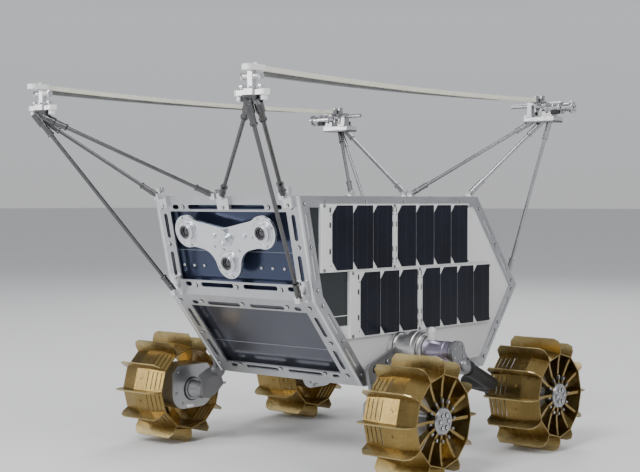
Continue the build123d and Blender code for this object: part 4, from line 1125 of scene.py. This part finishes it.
class RoverTripodFittings(bpy.types.Operator):
    """Rings, pins, lugs and bolts of the tripods"""

    bl_idname = "rover.tripod_fittings"
    bl_label = "Tripod fittings"

    def execute(self, context):
        leg_rings = []
        for high, low in LEGS:
            start, span = Vector(high), Vector(low) - Vector(high)
            way, length = span.normalized(), span.length
            for at in (SLEEVE_LENGTH - 0.0018, length - SLEEVE_LENGTH - 0.0004):
                leg_rings.append((start + way * at, way, 0.0036, 0.0046, 0.0, 0.0022, 0.0004, 24))
            leg_rings.append((start + way * (length - 0.0120), way, 0.0036, 0.0043, 0.0, 0.0030, 0.0004, 24))
        x, y = FRONT_HEAD
        lugs, nuts = [], []
        for side in HANDS:
            lugs.append(((x, y + side * 0.0180, COLLAR_TOP_Z - 0.0030), UP, (0.0066, 0.0052, 0.0060), 0.0008))
            lugs.append(((x, y + side * 0.0208, COLLAR_TOP_Z + 0.0028), UP, (0.0100, 0.0028, 0.0066), 0.0006))
            nuts.append(((x, y + side * 0.0122, CROSS_BOLT_Z), (0, side, 0), 0.0046, 0.0026, 0.0005, 6))
            nuts.append(((x, y + side * 0.0140, POST_NUT_Z), UP, 0.0038, 0.0024, 0.0005, 6))
        post_rings = [((x, y, POST_RING_Z), UP, 0.0049, 0.0060, 0.0, 0.0020, 0.0004, 24)]
        piece("leg_rings", "strut_metal", "strut_metal", rings, leg_rings)
        piece("head_lugs", "head_metal", "edge_white", blocks, lugs)
        piece("head_nuts", "head_metal", "screw_steel", rings_and_caps, post_rings, nuts)
        paired, shared = [], []
        for face, middle in FEET:
            a, b, out, length = face_run(face)
            along = Vector((b[0] - a[0], 0, b[1] - a[1])) / length
            if "rear" in face:
                along = -along
            on_middle = middle[1] == 0.0
            for shift in (0.0100,) if on_middle else (-0.0100, 0.0100):
                (shared if on_middle else paired).append((Vector(middle) + along * shift, out, 1.0))
        screws("foot_screws", mirrored(paired) + shared, 1.8 * MM, 1.3 * MM, "head_metal")
        pins = [((low[0], low[1] + 0.0040, low[2]), OUT, 1.0) for high, low in LEGS]
        screws("lug_pins", mirrored(pins), 1.9 * MM, 0.9 * MM, "head_metal")
        return {"FINISHED"}


class RoverDriveFittings(bpy.types.Operator):
    """End discs, plugs and screws of the boom drives, and the bolts of their fins"""

    bl_idname = "rover.drive_fittings"
    bl_label = "Drive fittings"

    def execute(self, context):
        x, y, z = HINGE
        end = (x, DRIVE_END_Y, DRIVE_Z)
        drive_rings = (
            (end, OUT, 0.0084, 0.0094, -0.0206, -0.0188, 0.0003, 40),
            (end, OUT, 0.0084, 0.0091, -0.0300, -0.0285, 0.0003, 40),
        )
        discs = [(end, OUT, 0.0080, DISC_HEIGHT, 0.0003, 36)]
        plugs = (
            ((x + 0.0075, 0.2150, DRIVE_Z - 0.0060), UP, (0.0070, 0.0120, 0.0060), 0.0008),
            ((x - 0.0085, 0.1725, 0.4665), UP, (0.0060, 0.0080, 0.0060), 0.0008),
        )
        strips = [((x, 0.2075, DRIVE_Z + 0.0088), UP, (0.0050, 0.0170, 0.0010), 0.0003)]
        piece("drive_discs", "drive_metal", "screw_steel", rings_and_caps, drive_rings, discs)
        piece("drive_plugs", "camera_black", "dark_gap_and_shade", blocks, plugs)
        piece("drive_strips", "drive_metal", "edge_white", blocks, strips)
        disc_middle = (x, DRIVE_END_Y + DISC_HEIGHT, DRIVE_Z)
        holes = [(disc_middle, OUT, 1.5)] + circle(disc_middle, 0.0050, 5)
        heads("drive_holes", mirrored(holes), 1.0 * MM, 0.2 * MM, 0.0, 12, "camera_black", "dark_gap_and_shade")
        base = [((back, across, REAR_BASE_TOP_Z), UP, 1.0) for back, places in BASE_SCREWS for across in places]
        screws("base_screws", mirrored(base), 1.4 * MM, 1.0 * MM, "head_metal")
        for name, hand in (("left", 1), ("right", -1)):
            bolts = []
            for rise, side in ((0.0095, 1), (0.0095, -1), (-0.0060, -1)):
                bolts.append(((x, hand * (y + side * FIN_FACE), z + rise), (0, side * hand, 0), 1.0))
            screws(name + "_fin_bolts", bolts, 1.3 * MM, 0.8 * MM, "drive_metal", body=name + "_boom")
            tip = [((ahead, hand * y, TONGUE_TOP_Z), UP, 1.0) for ahead in (0.3185, 0.3015)]
            screws(name + "_tongue_screws", tip, 1.4 * MM, 0.8 * MM, "drive_metal", body=name + "_boom")
        return {"FINISHED"}


class RoverPanel(bpy.types.Panel):
    """Lists the rover's steps"""

    bl_idname = "VIEW3D_PT_rover"
    bl_label = "Rover"
    bl_space_type = "VIEW_3D"
    bl_region_type = "UI"
    bl_category = "Rover"

    def draw(self, context):
        for step in STEPS:
            self.layout.operator(step.bl_idname)
        for group in (context.scene.rover_colours, context.scene.rover_sizes):
            for name in group.bl_rna.properties.keys():
                if name not in {"rna_type", "name"}:
                    self.layout.prop(group, name)


STEPS = (
    RoverStage,
    RoverFinishes,
    RoverRailScrews,
    RoverTrayFittings,
    RoverCameraFittings,
    RoverWheelFittings,
    RoverMotorFittings,
    RoverSuspensionFittings,
    RoverTripodFittings,
    RoverDriveFittings,
)
GROUPS = (RoverColours, RoverSizes)


def register():
    for kind in (*GROUPS, *STEPS, RoverPanel):
        bpy.utils.register_class(kind)
    bpy.types.Scene.rover_colours = bpy.props.PointerProperty(type=RoverColours)
    bpy.types.Scene.rover_sizes = bpy.props.PointerProperty(type=RoverSizes)


def unregister():
    del bpy.types.Scene.rover_sizes
    del bpy.types.Scene.rover_colours
    for kind in reversed((*GROUPS, *STEPS, RoverPanel)):
        bpy.utils.unregister_class(kind)


def main():
    register()
    for step in STEPS:
        area, name = step.bl_idname.split(".")
        getattr(getattr(bpy.ops, area), name)()


if __name__ == "__main__":
    main()
